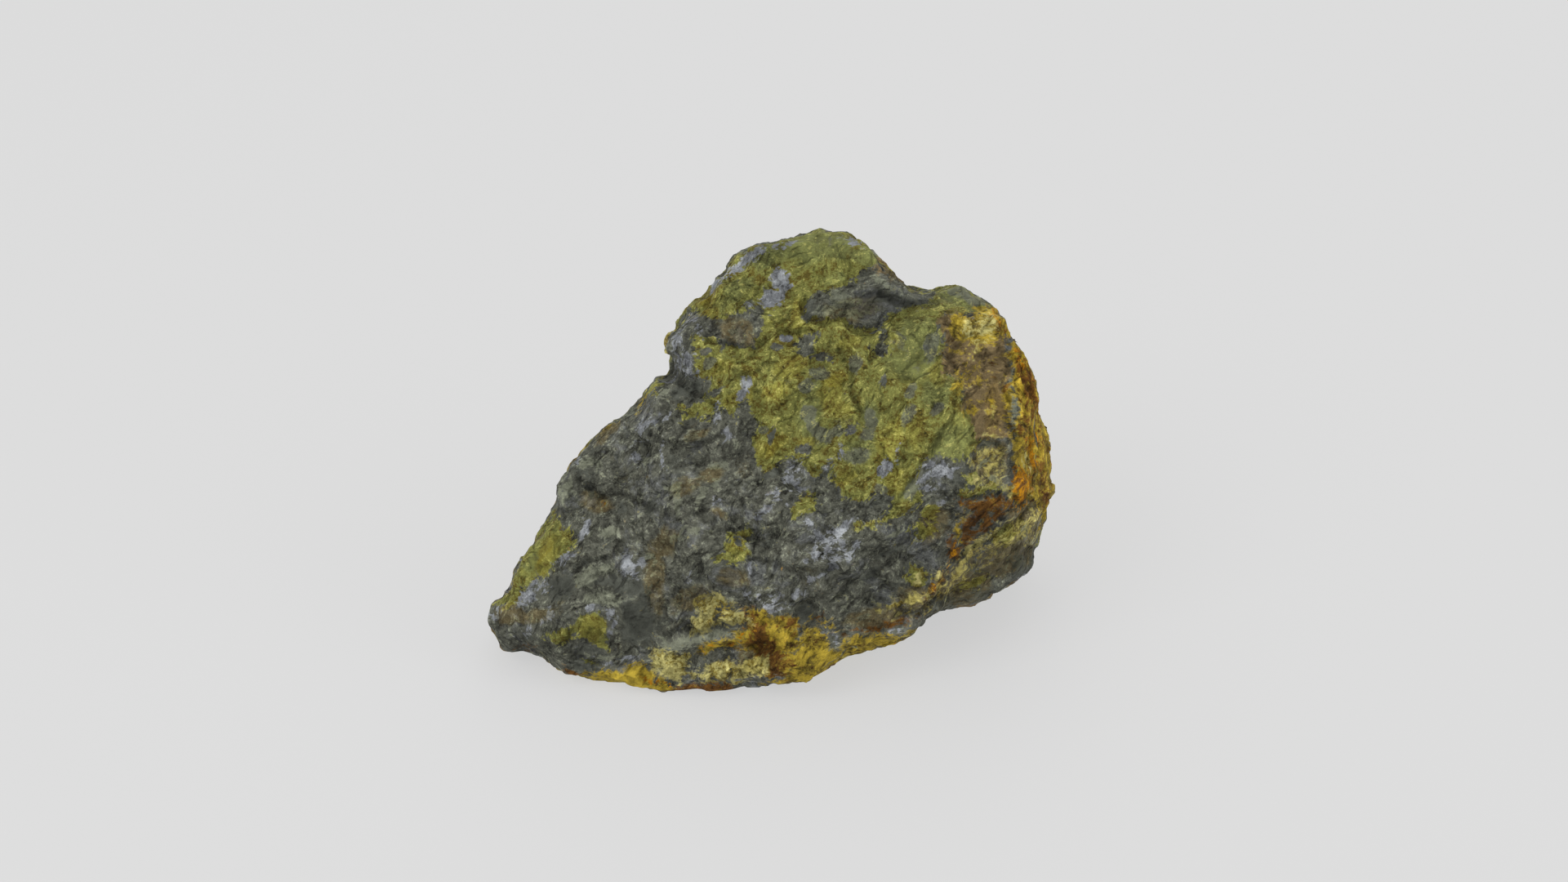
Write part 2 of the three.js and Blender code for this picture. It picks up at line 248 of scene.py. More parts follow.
GALENA_FIELDS = [
    # the tall grain under the peak, in two blocks
    (1, [(-4, 31.3), (-2.5, 31.5), (-0.3, 33.5), (-0.1, 35.4), (-2, 35.8), (-3.7, 34.8)]),
    (1, [(-0.8, 39.4), (0.3, 38), (0.6, 36), (-0.3, 35), (-1.8, 35.4), (-2.9, 36.8), (-2, 37.8)]),
    # the bright grain by the right ridge
    (1, [(29.3, 3.8), (31.8, 2.5), (30.9, 0.4), (29.6, 0.2), (27, 0.4), (24.2, -0.4), (24.4, 0.9),
     (27.5, 1.8)]),
    # the grain of the toe
    (1, [(-29.5, -12.9), (-28, -13.1), (-27.6, -15), (-26.6, -16.5), (-27, -17.4), (-29.8, -16.9),
     (-30.4, -15.3)]),
]
GALENA_SPOTS = [
    (-7.3, 40.4, 4.9, 0.9, 38), (-11.9, 37.3, 3.2, 0.9, 47, 0.8), (0.2, 26.6, 1.4, 0.5, 5),
    (-6.8, 32.5, 1.2, 0.7, 0, 0.8), (-7.6, 17, 2.1, 1.0, 80), (-12.4, 12.4, 2.5, 0.9, 72, 0.8),
    (-18.2, 22.2, 2.7, 1.5, -65, 0.85), (-19.8, 26, 2.6, 1.1, 65, 0.75), (-16.3, 28.6, 2.3, 0.8, -60, 0.8),
    (12.8, 44.2, 1.9, 0.8, -15, 0.8), (0.5, 43.2, 2.4, 0.5, 15, 0.8), (1.8, 0.6, 2.9, 1.6, -72, 0.8),
    (-1.5, -3, 2.6, 1.7, -30, 0.6), (-4.3, -6, 2.4, 0.7, 35, 0.8), (7.4, 2.9, 1.5, 1.3, 30, 0.62),
    (10.4, 5.5, 1.9, 0.9, -75, 0.75), (18.6, 2.6, 2.1, 1.0, 55), (20.8, 4.9, 1.8, 0.6, 82, 0.8),
    (27.2, 2.9, 2.3, 1.1, 10, 0.75), (26, -1.3, 1.9, 0.8, 0, 0.8), (29.3, -3.9, 1.5, 0.8, 20, 0.62),
    (4.6, -7.2, 1.5, 0.9, -40, 0.85), (10.4, -8.8, 3.0, 0.7, 25), (7.8, -12.2, 1.9, 1.0, 70, 0.85),
    (11.7, -13, 1.7, 1.2, 60, 0.8), (13.4, -11.4, 1.2, 0.8, 0, 0.8), (7, -14.2, 1.2, 0.8, 20, 0.75),
    (9.3, -15.4, 1.6, 1.1, 40, 0.7), (4.2, -14.6, 0.8, 0.7, 0), (-6.5, -15.7, 1.5, 0.5, 76),
    (5.3, -18.3, 2.6, 0.6, 36, 0.85), (-2.4, -23.4, 2.2, 0.8, -22, 0.85), (-7, -21, 1.3, 1.0, 60, 0.85),
    (-2.5, -21.8, 3.6, 1.6, -8, 0.62), (2.3, -20.8, 2.2, 1.3, 50, 0.6), (-25.2, 9.9, 2.8, 1.4, 50, 0.75),
    (-27.4, 4.2, 1.4, 1.0, 60, 0.7), (-22.2, 3.5, 3.6, 0.7, 88, 0.58), (-21.5, 11.8, 1.3, 0.6, 30, 0.75),
    (-37.8, 3.9, 1.0, 0.7, 60, 0.75), (-36.6, -9, 2.2, 0.8, 80), (-26, -15, 1.6, 1.1, 80, 0.75),
    (-40.3, -14.2, 1.7, 0.9, 42, 0.85), (-46.4, -20.8, 3.5, 1.1, 42, 0.9), (-43.3, -24.3, 1.4, 1.0, 50, 0.8),
    (-32.5, -24.3, 1.0, 0.9, 0, 0.9), (-31.6, -26.6, 1.7, 0.7, 62, 0.8), (-46.8, -27.6, 2.0, 1.1, 30, 0.66),
    (-53, -24.6, 1.9, 0.9, 65, 0.75), (-33.2, -33.1, 2.0, 0.8, -12, 0.8), (-28.6, -32.6, 1.6, 0.8, 10, 0.75),
    (-35.5, -23, 1.8, 0.7, 15, 0.7), (9.4, -28.7, 1.8, 0.8, -80, 0.75), (19.8, -27.4, 1.1, 0.7, 0, 0.85),
    (-6.4, -36.8, 1.4, 0.8, 10, 0.7), (24.9, -11.5, 1.6, 0.6, -60, 0.6), (-12.4, -3.7, 1.2, 0.8, 50, 0.65),
    (-17.5, -17.5, 2.0, 0.9, 80, 0.55), (8.3, -11.5, 5.5, 3.8, 40, 0.5), (-10.6, 8.8, 1.6, 0.9, 60, 0.65),
    (-45.8, -18.9, 1.6, 0.7, 40, 0.7),
]

MAUVE_FIELDS = [
    (1, [(28, 30), (28.8, 27), (30, 25), (28.6, 22), (29.6, 19.5), (32.5, 19), (33, 14), (35.4, 8.4),
     (41, 8.4), (41.6, 15), (41.8, 20), (40.6, 28), (38, 29), (34, 30.5), (30.6, 31)]),
]
MAUVE_SPOTS = [(18.6, 38.4, 3.0, 1.2, -42, 0.5), (37, -5.4, 3.2, 1.0, 18, 0.6)]

OCHRE_FIELDS = [
    # patches among the rust of the band and of the foot, and among the mauve
    (0.32, [(41.8, -3), (35, -2.8), (31, -3.7), (30.5, -9), (29.7, -14), (32.3, -13.5), (38, -8),
     (42, -4.5)]),
    (0.85, [(-7.5, -23.5), (-4, -23.5), (3, -24.8), (3, -36), (-3, -36), (-8, -30)]),
    (0.32, [(28.6, 29), (29.5, 22), (31, 19), (35, 15), (37, 10), (40, 10), (40.2, 24), (34, 26)]),
    # the golden shoulder and the right cheek below it
    (0.95, [(29.4, 28), (29.8, 30.6), (33, 31.4), (34.5, 30.8), (35, 32), (38, 32), (42, 31), (45, 28),
     (50, 20), (54, 8), (54, -4), (48, -8.5), (46.5, -6), (45.5, -3.5), (42, -3.8), (41.5, -2), (43, 2),
     (41.3, 6), (40.6, 12), (40.6, 20), (40, 26), (38.4, 24.6), (36.5, 24), (34.5, 25.5), (32, 26.2),
     (30, 27)]),
    # the strip under the toe
    (1, [(-37.5, -35.2), (-33, -34.8), (-28.5, -34), (-26, -33.2), (-24, -34.5), (-23, -36), (-20.5, -37.2),
     (-21, -44), (-32, -44), (-40, -38)]),
    # the splinter under the pale bar
    (1, [(-17, -32.4), (-15, -29.9), (-11, -29), (-8, -27), (-5, -25.4), (-5.6, -27.8), (-9.5, -30),
     (-13, -31.6)]),
    # the yellow of the foot
    (1, [(3, -27.5), (4.5, -26.7), (6.5, -27.5), (7.5, -28.5), (8, -31), (10.5, -31.5), (13, -36), (4, -44),
     (-6, -42), (-4.6, -37.2), (-0.5, -36), (1.5, -33.5), (2.5, -31), (2.8, -29)]),
    (1, [(-4, -25.2), (-2, -25.2), (-1, -27.5), (0.8, -29), (0.5, -30.2), (-1.2, -29.8), (-2.2, -27.8),
     (-4, -26.8)]),
    (1, [(10.5, -29.5), (13, -29), (17, -27.5), (20, -28.8), (22, -28.3), (22.5, -26.8), (24.5, -27.3),
     (23, -34), (11, -38)]),
]
OCHRE_SPOTS = [
    (31.9, 17.6, 2.6, 1.3, 80, 0.72), (34.4, 13.3, 1.9, 1.0, 0, 0.66), (38.4, 14.6, 2.6, 0.8, 85, 0.7),
    (32, -9.3, 2.1, 0.8, -80, 0.85), (-26, 14.8, 2.3, 0.7, 48, 0.7), (-11.2, -34.8, 2.2, 1.2, 50, 0.85),
    (8.2, -26.2, 2.2, 1.3, -30, 0.65), (-32.5, 10, 2.6, 0.5, 32, 0.6), (34.8, -12.6, 3.4, 0.9, 36, 0.62),
]

ORANGE_FIELDS = [
    # streaks on the splinter under the pale bar
    (0.6, [(-16.4, -32), (-14.8, -30), (-11, -29.3), (-9, -28.4), (-7, -26.3), (-5.8, -26), (-6.5, -27.8),
     (-9.5, -29.4), (-13, -31)]),
]
ORANGE_SPOTS = [
    (43.6, -0.6, 3.4, 1.8, 78), (45.3, 5, 3.2, 0.9, -78, 0.85), (27.8, -19.2, 2.0, 0.8, 50, 0.6),
    (38.8, 30, 2.0, 1.0, -50, 0.7), (30.8, -13.2, 2.8, 0.6, 75, 0.6), (46.2, 9, 3.0, 0.9, -75, 0.56),
    (43.2, 22.5, 2.8, 0.7, -70, 0.54), (-24, -36.8, 3.0, 0.8, -20, 0.62),
]

RUST_FIELDS = [
    # from the foot's pit down to its rim, and along the rim
    (0.7, [(-8.5, -24.5), (-6.5, -23.2), (-4, -24.5), (-1, -24.6), (2, -24.2), (3, -26.5), (1.5, -28.5),
     (2.4, -31), (2, -33), (0.5, -36), (-3, -36.4), (-5, -34), (-6.5, -31), (-8.5, -30), (-7, -28)]),
    (1, [(-21, -37.6), (-16, -36.6), (-12, -36.3), (-9.5, -36.8), (-8, -40), (-10, -44), (-22, -44)]),
    # streaks down the right cheek
    (0.47, [(40.2, 30), (43, 27), (47, 21), (52, 8), (50, -4), (46, -3), (44, 3), (42, 8), (41.4, 18),
     (40.6, 25)]),
    # the band below the right cheek
    (0.86, [(41.8, -3), (38.5, -2.5), (35, -2.8), (31, -3.7), (35, -5.5), (32, -7), (30.5, -9), (29.7, -12.5),
     (30, -16), (31.3, -15), (32.3, -13.5), (35, -11), (38, -8), (41, -6), (42, -4.5)]),
]
RUST_SPOTS = [
    (-6.6, -25.6, 2.4, 1.0, -50, 0.85), (-4.4, -29.6, 2.6, 1.2, -60, 0.85),
    (-0.6, -32.6, 2.8, 1.3, -30, 0.85), (45.7, 16.5, 5.4, 1.5, -74, 0.9), (43.4, 20.4, 3.4, 0.9, -62, 0.8),
    (41.4, 17.8, 1.5, 0.7, 60, 0.75), (48.4, -2.6, 2.6, 1.3, 80, 0.9), (38.6, 20.2, 1.6, 0.7, 60, 0.6),
    (20, -25.6, 4.6, 0.9, 14, 0.7), (43.2, 10, 2.2, 0.8, 88, 0.85), (46.9, 4, 3.4, 0.8, -82, 0.75),
    (11.4, -28, 2.2, 0.9, 10, 0.85), (16.8, -26.6, 2.6, 0.6, 22, 0.8), (39.9, 28.2, 1.6, 0.9, -65, 0.75),
    (33.8, 30, 1.0, 0.6, -40, 0.7), (47.6, -1.4, 1.8, 0.7, 88, 0.8), (-47.5, -30.8, 2.2, 0.6, -5, 0.7),
    (7, -25.3, 1.4, 0.8, 40, 0.7), (28, -19, 2.6, 1.2, 50, 0.85), (-38.5, -35.2, 2.2, 0.5, -20, 0.8),
    (31.5, -23.8, 3.4, 0.5, 12, 0.7), (-33.5, -3.2, 1.2, 0.8, 40, 0.5),
]

CREAM_FIELDS = [
    # pale knobs on the golden shoulder, and the crust under the right cheek down to the foot
    (0.66, [(31, 28), (33, 30.6), (38, 31.4), (40.4, 29), (39.4, 26.4), (34, 26.2)]),
    (0.44, [(30.6, -16), (33, -13), (36, -11), (40, -8.5), (44, -5.2), (48, -3.6), (51, -8), (48, -12),
     (43.8, -12), (40, -13.7), (36, -18.3), (31, -21), (28, -23.4), (24, -24.6), (19, -24.4), (19.6, -21.6),
     (24, -20), (26.6, -18), (27.6, -15)]),
    (0.46, [(33.4, 4.4), (35, -2.4), (41, -2), (42.6, 2), (42.4, 8), (39, 8), (36, 6)]),
    # the crust over the foot, and the knob above the bar
    (1, [(-24.5, -31), (-20, -31), (-17, -31.7), (-15.5, -34), (-12, -33), (-8, -32.5), (-3, -32.2),
     (-3, -34), (-5, -36), (-9, -36.3), (-13, -36), (-19, -37), (-21.5, -36), (-22.5, -35), (-24.5, -34)]),
    (1, [(-16, -22), (-13, -20), (-10, -22), (-8.5, -24), (-6.3, -26.2), (-9, -26.3), (-12, -26),
     (-14, -27.6), (-17.8, -27.6), (-17, -25.2), (-15.3, -24.4)]),
]
CREAM_SPOTS = [
    (22.2, -22.2, 4.6, 0.7, 13, 0.8), (24.6, -18.2, 2.4, 0.8, 75, 0.6), (23, -24, 3.0, 0.6, 12, 0.6),
    (45.2, -7.6, 3.2, 1.4, 85, 0.6), (44.4, -11.2, 1.6, 0.6, 10, 0.6), (40.8, -7.4, 2.8, 0.6, 20, 0.6),
    (32.6, -15.4, 2.2, 0.7, 70, 0.9), (36, -11, 4.6, 0.8, 38, 0.85), (36.5, 25.6, 2.2, 1.2, 30, 0.6),
    (38.3, 8.8, 2.0, 0.5, -10, 0.7), (41.6, -1.4, 1.4, 0.8, 50, 0.75), (-50.8, -21.8, 1.6, 0.7, 55, 0.7),
    (35.6, 0.9, 1.8, 0.9, -10, 0.7), (36.4, 28.4, 2.4, 1.6, -20, 0.72), (44.6, 3.6, 2.0, 0.5, -75, 0.7),
    (26.4, -21, 1.8, 0.5, 70, 0.6), (-22.8, 19.2, 1.4, 0.5, 30, 0.6), (29.6, -20.6, 2.0, 0.5, 35, 0.62),
    (42.6, 14, 3.4, 0.4, 86, 0.6), (45.6, -1.2, 2.6, 0.6, 80, 0.62), (41.8, 22, 2.6, 0.4, -75, 0.6),
    (38.4, 12, 3.0, 0.4, 80, 0.55),
]

# Grey rock that shows through the ore.
GANGUE_FIELDS = [
    # the brow, left of the peak
    (1, [(-13.2, 29.3), (-10.5, 31), (-8, 31.3), (-4.3, 31.8), (-3.8, 29), (-5.2, 27), (-5.8, 25), (-8, 24.8),
     (-10.2, 25.6), (-11.2, 24.4), (-12.3, 26.3), (-14.2, 27.2)]),
    # the hollow under the saddle
    (1, [(3.4, 29.8), (4.5, 33), (6, 34.8), (11, 34.8), (13, 37), (15, 39.8), (18, 40.3), (20.5, 39.5),
     (25.5, 36.5), (29, 35.4), (26.5, 33), (22, 32), (19, 30.6), (18.4, 26), (19.2, 23.8), (17.6, 22.6),
     (16.4, 24.2), (16.8, 28), (12.2, 28.2), (11.5, 30.2), (7, 30.3)]),
    (1, [(2, 24.5), (3, 27), (5.8, 27.5), (5.4, 24), (4.8, 22.3), (3.6, 22.7)]),
]
GANGUE_SPOTS = [
    (7.3, 22.9, 1.5, 0.7, 0), (12.2, 9.7, 1.2, 0.8, 30), (4, 5.7, 1.6, 0.7, 15), (-14.3, 23.6, 1.2, 0.7, 40),
    (-12.5, 16.8, 1.4, 0.6, 30), (15.8, -5.1, 2.4, 1.3, 10), (18, -2.7, 1.7, 0.7, 0),
    (-1.8, 24.9, 1.4, 0.5, 5), (-7, 13.6, 0.8, 1.4, 0),
]

# Places where no rust lies on the yellow of the foot and of the band.
CLEAN_SPOTS = [
    (-1.6, -27.7, 3.6, 1.2, -52), (5, -29, 2.8, 2.2, 80), (10, -30.4, 4.0, 1.6, 12),
    (-3.4, -25.4, 1.0, 0.8, 0), (31.8, -9.4, 2.2, 0.6, -80), (35.8, -7.4, 3.0, 0.4, 38, 0.8),
]

# Places where the crust is broken through to the grey.
BARE_SPOTS = [
    (-16.4, -33.2, 1.7, 0.9, 40), (-12.6, -31.8, 2.2, 0.6, 28), (-7, -32.4, 1.6, 0.7, 40),
    (-17.4, -36, 1.4, 0.6, -10), (42.4, 13.6, 3.2, 0.6, 86), (41, 21.4, 3.2, 0.7, -75),
    (41.2, 4.4, 1.8, 0.7, -80), (40.6, 25.4, 1.4, 0.9, -60),
]

# The fields and spots of each mineral, in the order that they are laid, each over those before it.
PATCHES = {
    "chalcopyrite": (ORE_FIELDS, ORE_SPOTS),
    "pale": (PALE_FIELDS, PALE_SPOTS),
    "slate": (SLATE_FIELDS, SLATE_SPOTS),
    "galena": (GALENA_FIELDS, GALENA_SPOTS),
    "mauve": (MAUVE_FIELDS, MAUVE_SPOTS),
    "ochre": (OCHRE_FIELDS, OCHRE_SPOTS),
    "rust": (RUST_FIELDS, RUST_SPOTS),
    "orange": (ORANGE_FIELDS, ORANGE_SPOTS),
    "cream": (CREAM_FIELDS, CREAM_SPOTS),
}
CRUST = ("ochre", "rust", "orange", "cream")
# What is then taken away: the minerals, and the fields and spots where they are missing.
GAPS = (
    (("chalcopyrite",), GANGUE_FIELDS, GANGUE_SPOTS),
    (("rust",), [], CLEAN_SPOTS),
    (CRUST, [], BARE_SPOTS),
)

# Soft tints: golden ore, grey-green windows in the ore, greener ore, painted shade over the shaded places,
# browner rock, a painted sheen on the galena, fresh and lighter places, and smooth places where the grain is
# faint.
GOLD_SPOTS = [
    (8.1, 19.2, 1.3, 1.0, 0), (9.3, 14, 3.2, 1.8, -30), (-3, 6, 2.6, 1.6, 0), (4.5, 7.2, 2.2, 0.9, 10),
    (-5.4, 20, 1.6, 0.9, 20), (0.6, 21, 3.2, 2.0, 20), (-1.5, 16.5, 2.6, 2.0, 30), (19.5, 8, 4.4, 2.0, 70),
    (-11.5, 21, 3.0, 1.6, 20), (-8, 15.4, 2.6, 1.4, 10), (2.6, 31, 1.4, 2.6, 0), (12.5, 25.5, 2.6, 1.2, 10),
    (-14.4, 34, 2.4, 1.4, 50), (18.6, 40.6, 2.4, 0.7, -55), (10.6, 0.4, 3.0, 1.4, 20),
    (14.6, -6.4, 2.6, 1.0, 10), (-5, 43.8, 2.4, 0.6, 0), (8.6, 16, 2.4, 2.6, 0), (24, 9.6, 2.6, 1.4, 60),
    (-43.6, -15, 3.2, 1.2, 55), (-35, -27, 2.0, 2.8, 0), (-8.4, -11, 2.0, 1.6, 0), (28.4, 20, 1.4, 2.6, 0),
    (20.6, 0.6, 1.8, 2.4, 0), (36.6, 33.8, 2.6, 1.2, -30),
]
WINDOW_SPOTS = [
    (4.4, 12.6, 1.5, 1.9, 0), (6.2, 9.6, 3.2, 1.4, -38), (15.9, 11.4, 1.2, 2.6, 0), (15, 8.4, 1.6, 1.2, 0),
    (9.6, 9.6, 1.4, 1.0, 0), (13.4, 4.9, 2.6, 2.0, 0), (6.3, 20, 1.7, 1.1, 0), (4, 17.2, 1.5, 1.4, 0),
    (-3.9, 9.6, 1.3, 1.0, 0), (22.6, 12.4, 1.4, 3.0, -20), (23.4, -1.4, 2.2, 1.6, 60),
    (-1, -12.5, 3.0, 1.8, 10), (-6.4, 32.6, 1.4, 0.9, 0), (23.2, 16.3, 1.7, 1.1, 70),
    (27.6, 13.4, 2.2, 0.9, 55), (27, 25.6, 1.4, 2.4, 0), (13.2, 21.8, 1.2, 1.8, 0),
    (-13.8, 21.6, 1.6, 0.8, 30), (34, 33.6, 4.0, 1.2, -20), (18, -1.4, 1.6, 0.8, 0),
]
GREEN_SPOTS = [
    (24.5, 24.5, 7.0, 5.0, 70), (33, 34, 6.0, 2.4, -20), (6, 43, 7.0, 3.4, 10), (15, 41.5, 3.0, 2.2, 0),
    (9, 37, 3.0, 1.8, 0), (-4, 41, 4.0, 2.0, 20), (-10, 34, 4.0, 2.0, 40), (31, 8, 5.0, 3.2, 20),
    (23, -1.6, 2.4, 1.8, 60), (5, 12, 3.6, 2.0, 80), (15.8, 12.5, 3.0, 1.8, 80), (30.2, 6.4, 4.4, 3.0, 12),
    (7, 8.5, 2.6, 1.6, 60), (14, 6, 3.4, 2.2, 20), (-8, 36, 3.2, 1.6, 30), (28, 17, 4.0, 2.6, 70),
    (-46.5, -15, 2.4, 1.2, 60), (5.3, 17.5, 2.0, 1.4, 40), (-1, -12.5, 3.4, 2.2, 10), (32.4, 23, 1.0, 1.0, 0),
]
# Painted shade: the colour is darkened over these places, such as under the saddle and in the foot's pit.
PAINTED_SHADE_SPOTS = [
    (22, -12, 9.0, 5.0, 25), (17, -20, 9.0, 5.0, 10), (18, 32, 8.0, 3.2, -6), (28, -7, 4.0, 3.4, 40),
    (-34, -1, 7.0, 2.6, -10), (-13, -19, 7.0, 4.0, 10), (38, -15, 7.0, 3.0, 10), (-37, -29, 6.0, 4.0, 0),
    (-47, -29, 5.0, 2.6, 0), (-9, 6, 5.0, 3.0, 20), (8, 24, 3.0, 1.6, 0), (36, -7, 5.0, 3.0, 30),
    (4.6, -24, 2.4, 2.0, 0), (-27, -25.6, 4.0, 3.4, 0), (-41.6, -19, 2.4, 2.4, 0), (44, -13, 4.0, 2.0, 20),
    (30, -21, 4.0, 1.6, 30), (-3, 42, 4.0, 1.6, 10), (-4, -30, 3.0, 3.0, 0), (-20, -10, 3.0, 3.0, 0),
    (-2, -33.4, 3.0, 1.4, 0), (-35, -19.4, 3.0, 1.4, 0),
]
WARM_SPOTS = [
    (-22, -11, 2.8, 2.2, 40), (-23.5, -18.5, 2.0, 5.0, 0), (-18, -0.5, 3.4, 1.8, 20), (-13.5, 1, 2.2, 1.4, 0),
    (-35, -3.5, 3.0, 2.0, -20), (-11.5, -6, 2.6, 1.2, -10), (-17, -21, 4.0, 2.2, 30),
    (-10, -17.5, 3.4, 1.8, 0), (-9, 28, 4.0, 2.4, -20), (-27, 16, 3.0, 1.4, 50), (-32, 9, 3.4, 1.2, 32),
    (-16, 8.4, 3.0, 1.0, 30), (-47, -24.8, 4.0, 1.4, 10), (-13, 33, 2.4, 2.0, 60), (9.5, 19, 2.2, 1.6, 20),
    (-1, 6.6, 2.2, 1.2, 40), (20, 39, 2.6, 1.2, -45), (13, 32, 6.0, 2.6, 10), (24, -21, 3.6, 2.6, 20),
    (38.6, 3.6, 3.6, 5.0, 0), (38.6, 14, 1.8, 6.0, 0), (40, -14, 7.0, 3.4, 15), (33, -19.6, 6.0, 3.4, 25),
    (27, -8, 3.0, 4.0, 20), (44, -7, 3.0, 5.0, 0), (16, -25, 6.0, 2.0, 10), (-50, -24.4, 3.0, 2.0, 0),
    (-5.4, -31, 3.4, 3.6, 0), (44, 20, 1.6, 6.0, 20), (-43.6, -12, 4.0, 1.4, 55),
]
# Painted sheen: places where the galena is made brighter, as if it shone.
PAINTED_SHEEN_SPOTS = [
    (28, 1.6, 3.2, 1.3, 14), (-0.5, 37.2, 0.6, 1.1, 0), (9.8, -9.6, 2.8, 0.8, 30),
    (11.8, -13.4, 1.2, 0.8, 60), (6.6, -13, 1.0, 1.6, 0), (18.8, 3, 1.4, 1.0, 40), (4.7, -7.3, 1.4, 0.9, -40),
    (-7.6, 17.4, 0.9, 1.5, 0), (-28.6, -15.6, 1.3, 1.4, 0), (-36.6, -8.8, 0.9, 1.8, 0),
    (-40.2, 2, 1.0, 1.6, 0), (-6.5, -15.7, 0.5, 1.4, 0), (1.9, 1.4, 1.2, 1.8, 0), (-10, 38.8, 3.0, 0.8, 42),
    (-1.9, 26.6, 1.6, 0.5, 0), (-3, -22.4, 1.6, 0.9, -10),
]
FRESH_SPOTS = [
    (4.6, -29, 2.4, 2.0, 80), (-1.4, -27.8, 3.0, 1.2, -52), (-22.4, -33, 2.6, 2.2, 30),
    (-11.4, -34.4, 3.4, 1.6, 20), (-12.4, -24, 3.0, 1.8, 30), (-4.6, -34.6, 2.0, 1.4, 30),
    (36.6, 29.4, 3.4, 2.0, 0), (33.4, 28.8, 2.4, 1.6, 0), (44.4, 13, 1.4, 3.0, 10), (43.6, -0.4, 1.4, 2.4, 0),
    (23, -22, 4.0, 1.0, 14), (20, -27.8, 3.4, 0.9, 10), (-31, -35.4, 4.0, 1.0, -10), (45.6, -6, 2.0, 2.6, 0),
    (37, 25.6, 2.0, 1.4, 20), (47.2, 8, 2.0, 8.0, 6), (45, 18, 1.6, 4.0, 16), (30.6, 6.3, 3.8, 1.9, 12),
    (32.2, 11.4, 1.5, 1.5, 0), (22.6, -1.7, 2.0, 1.5, 40), (21.4, 10, 3.6, 1.6, 70), (-2, 16.6, 3.0, 2.0, 30),
    (20, 6.6, 2.4, 1.6, 60), (18.6, 0, 3.0, 1.4, 40), (9, 37, 2.6, 1.2, 0), (9.4, -12.2, 1.8, 1.8, 0),
]
CALM_SPOTS = [
    (7, 44, 9.0, 3.4, 5), (-30.5, -19.2, 5.0, 1.6, -8), (-27, -26, 3.4, 4.0, 0), (-41.5, -19, 2.6, 2.8, 0),
    (30.6, 6.2, 4.2, 2.2, 12), (32.2, 11.2, 1.8, 2.0, 0), (22.6, -1.6, 2.4, 2.0, 40),
    (-30, -36, 7.0, 2.4, -8), (-16, -28.6, 7.0, 1.4, 10), (20, 34, 6.0, 2.4, -10), (4.6, 11.2, 2.0, 3.2, 0),
    (15.6, 10.6, 1.6, 3.0, 0), (34, 34, 6.0, 2.0, -20), (-27.6, -15.2, 3.2, 2.0, 0),
    (19, -27.6, 5.0, 1.4, 15), (-34, -27.6, 3.6, 2.2, 0), (-44, -13, 5.0, 2.4, 55), (24, 22, 4.0, 6.0, 0),
    (38, -14.6, 7.0, 2.4, 15),
]
TINTS = {
    "gold": GOLD_SPOTS, "window": WINDOW_SPOTS, "green": GREEN_SPOTS, "gloom": PAINTED_SHADE_SPOTS,
    "warm": WARM_SPOTS, "shine": PAINTED_SHEEN_SPOTS, "fresh": FRESH_SPOTS, "calm": CALM_SPOTS,
}

# Small spurs that stand out from the skin.
SPUR_SPOTS = [
    (49.4, -1.6, 1.2, 1.0, 0), (11.4, 47.4, 2.6, 1.2, -14), (30.8, 35.6, 3.0, 1.4, -10),
    (-9.6, 41.2, 2.6, 1.4, 40), (-50.4, -31, 2.0, 1.2, -30),
]
# Small nicks in the skin.
NICK_SPOTS = [
    (-28.2, 15.6, 4.0, 3.0, 42), (47.9, -11, 4.6, 3.0, 66), (-20.8, 31, 3.2, 2.2, 62),
    (27.1, -26.1, 2.8, 2.2, 30), (-22.2, 21.4, 2.2, 2.2, 0), (12.9, -32.5, 2.8, 2.0, 24),
    (-52.2, -19.2, 2.8, 2.2, 50), (43.6, 27.4, 2.6, 2.2, -58),
]

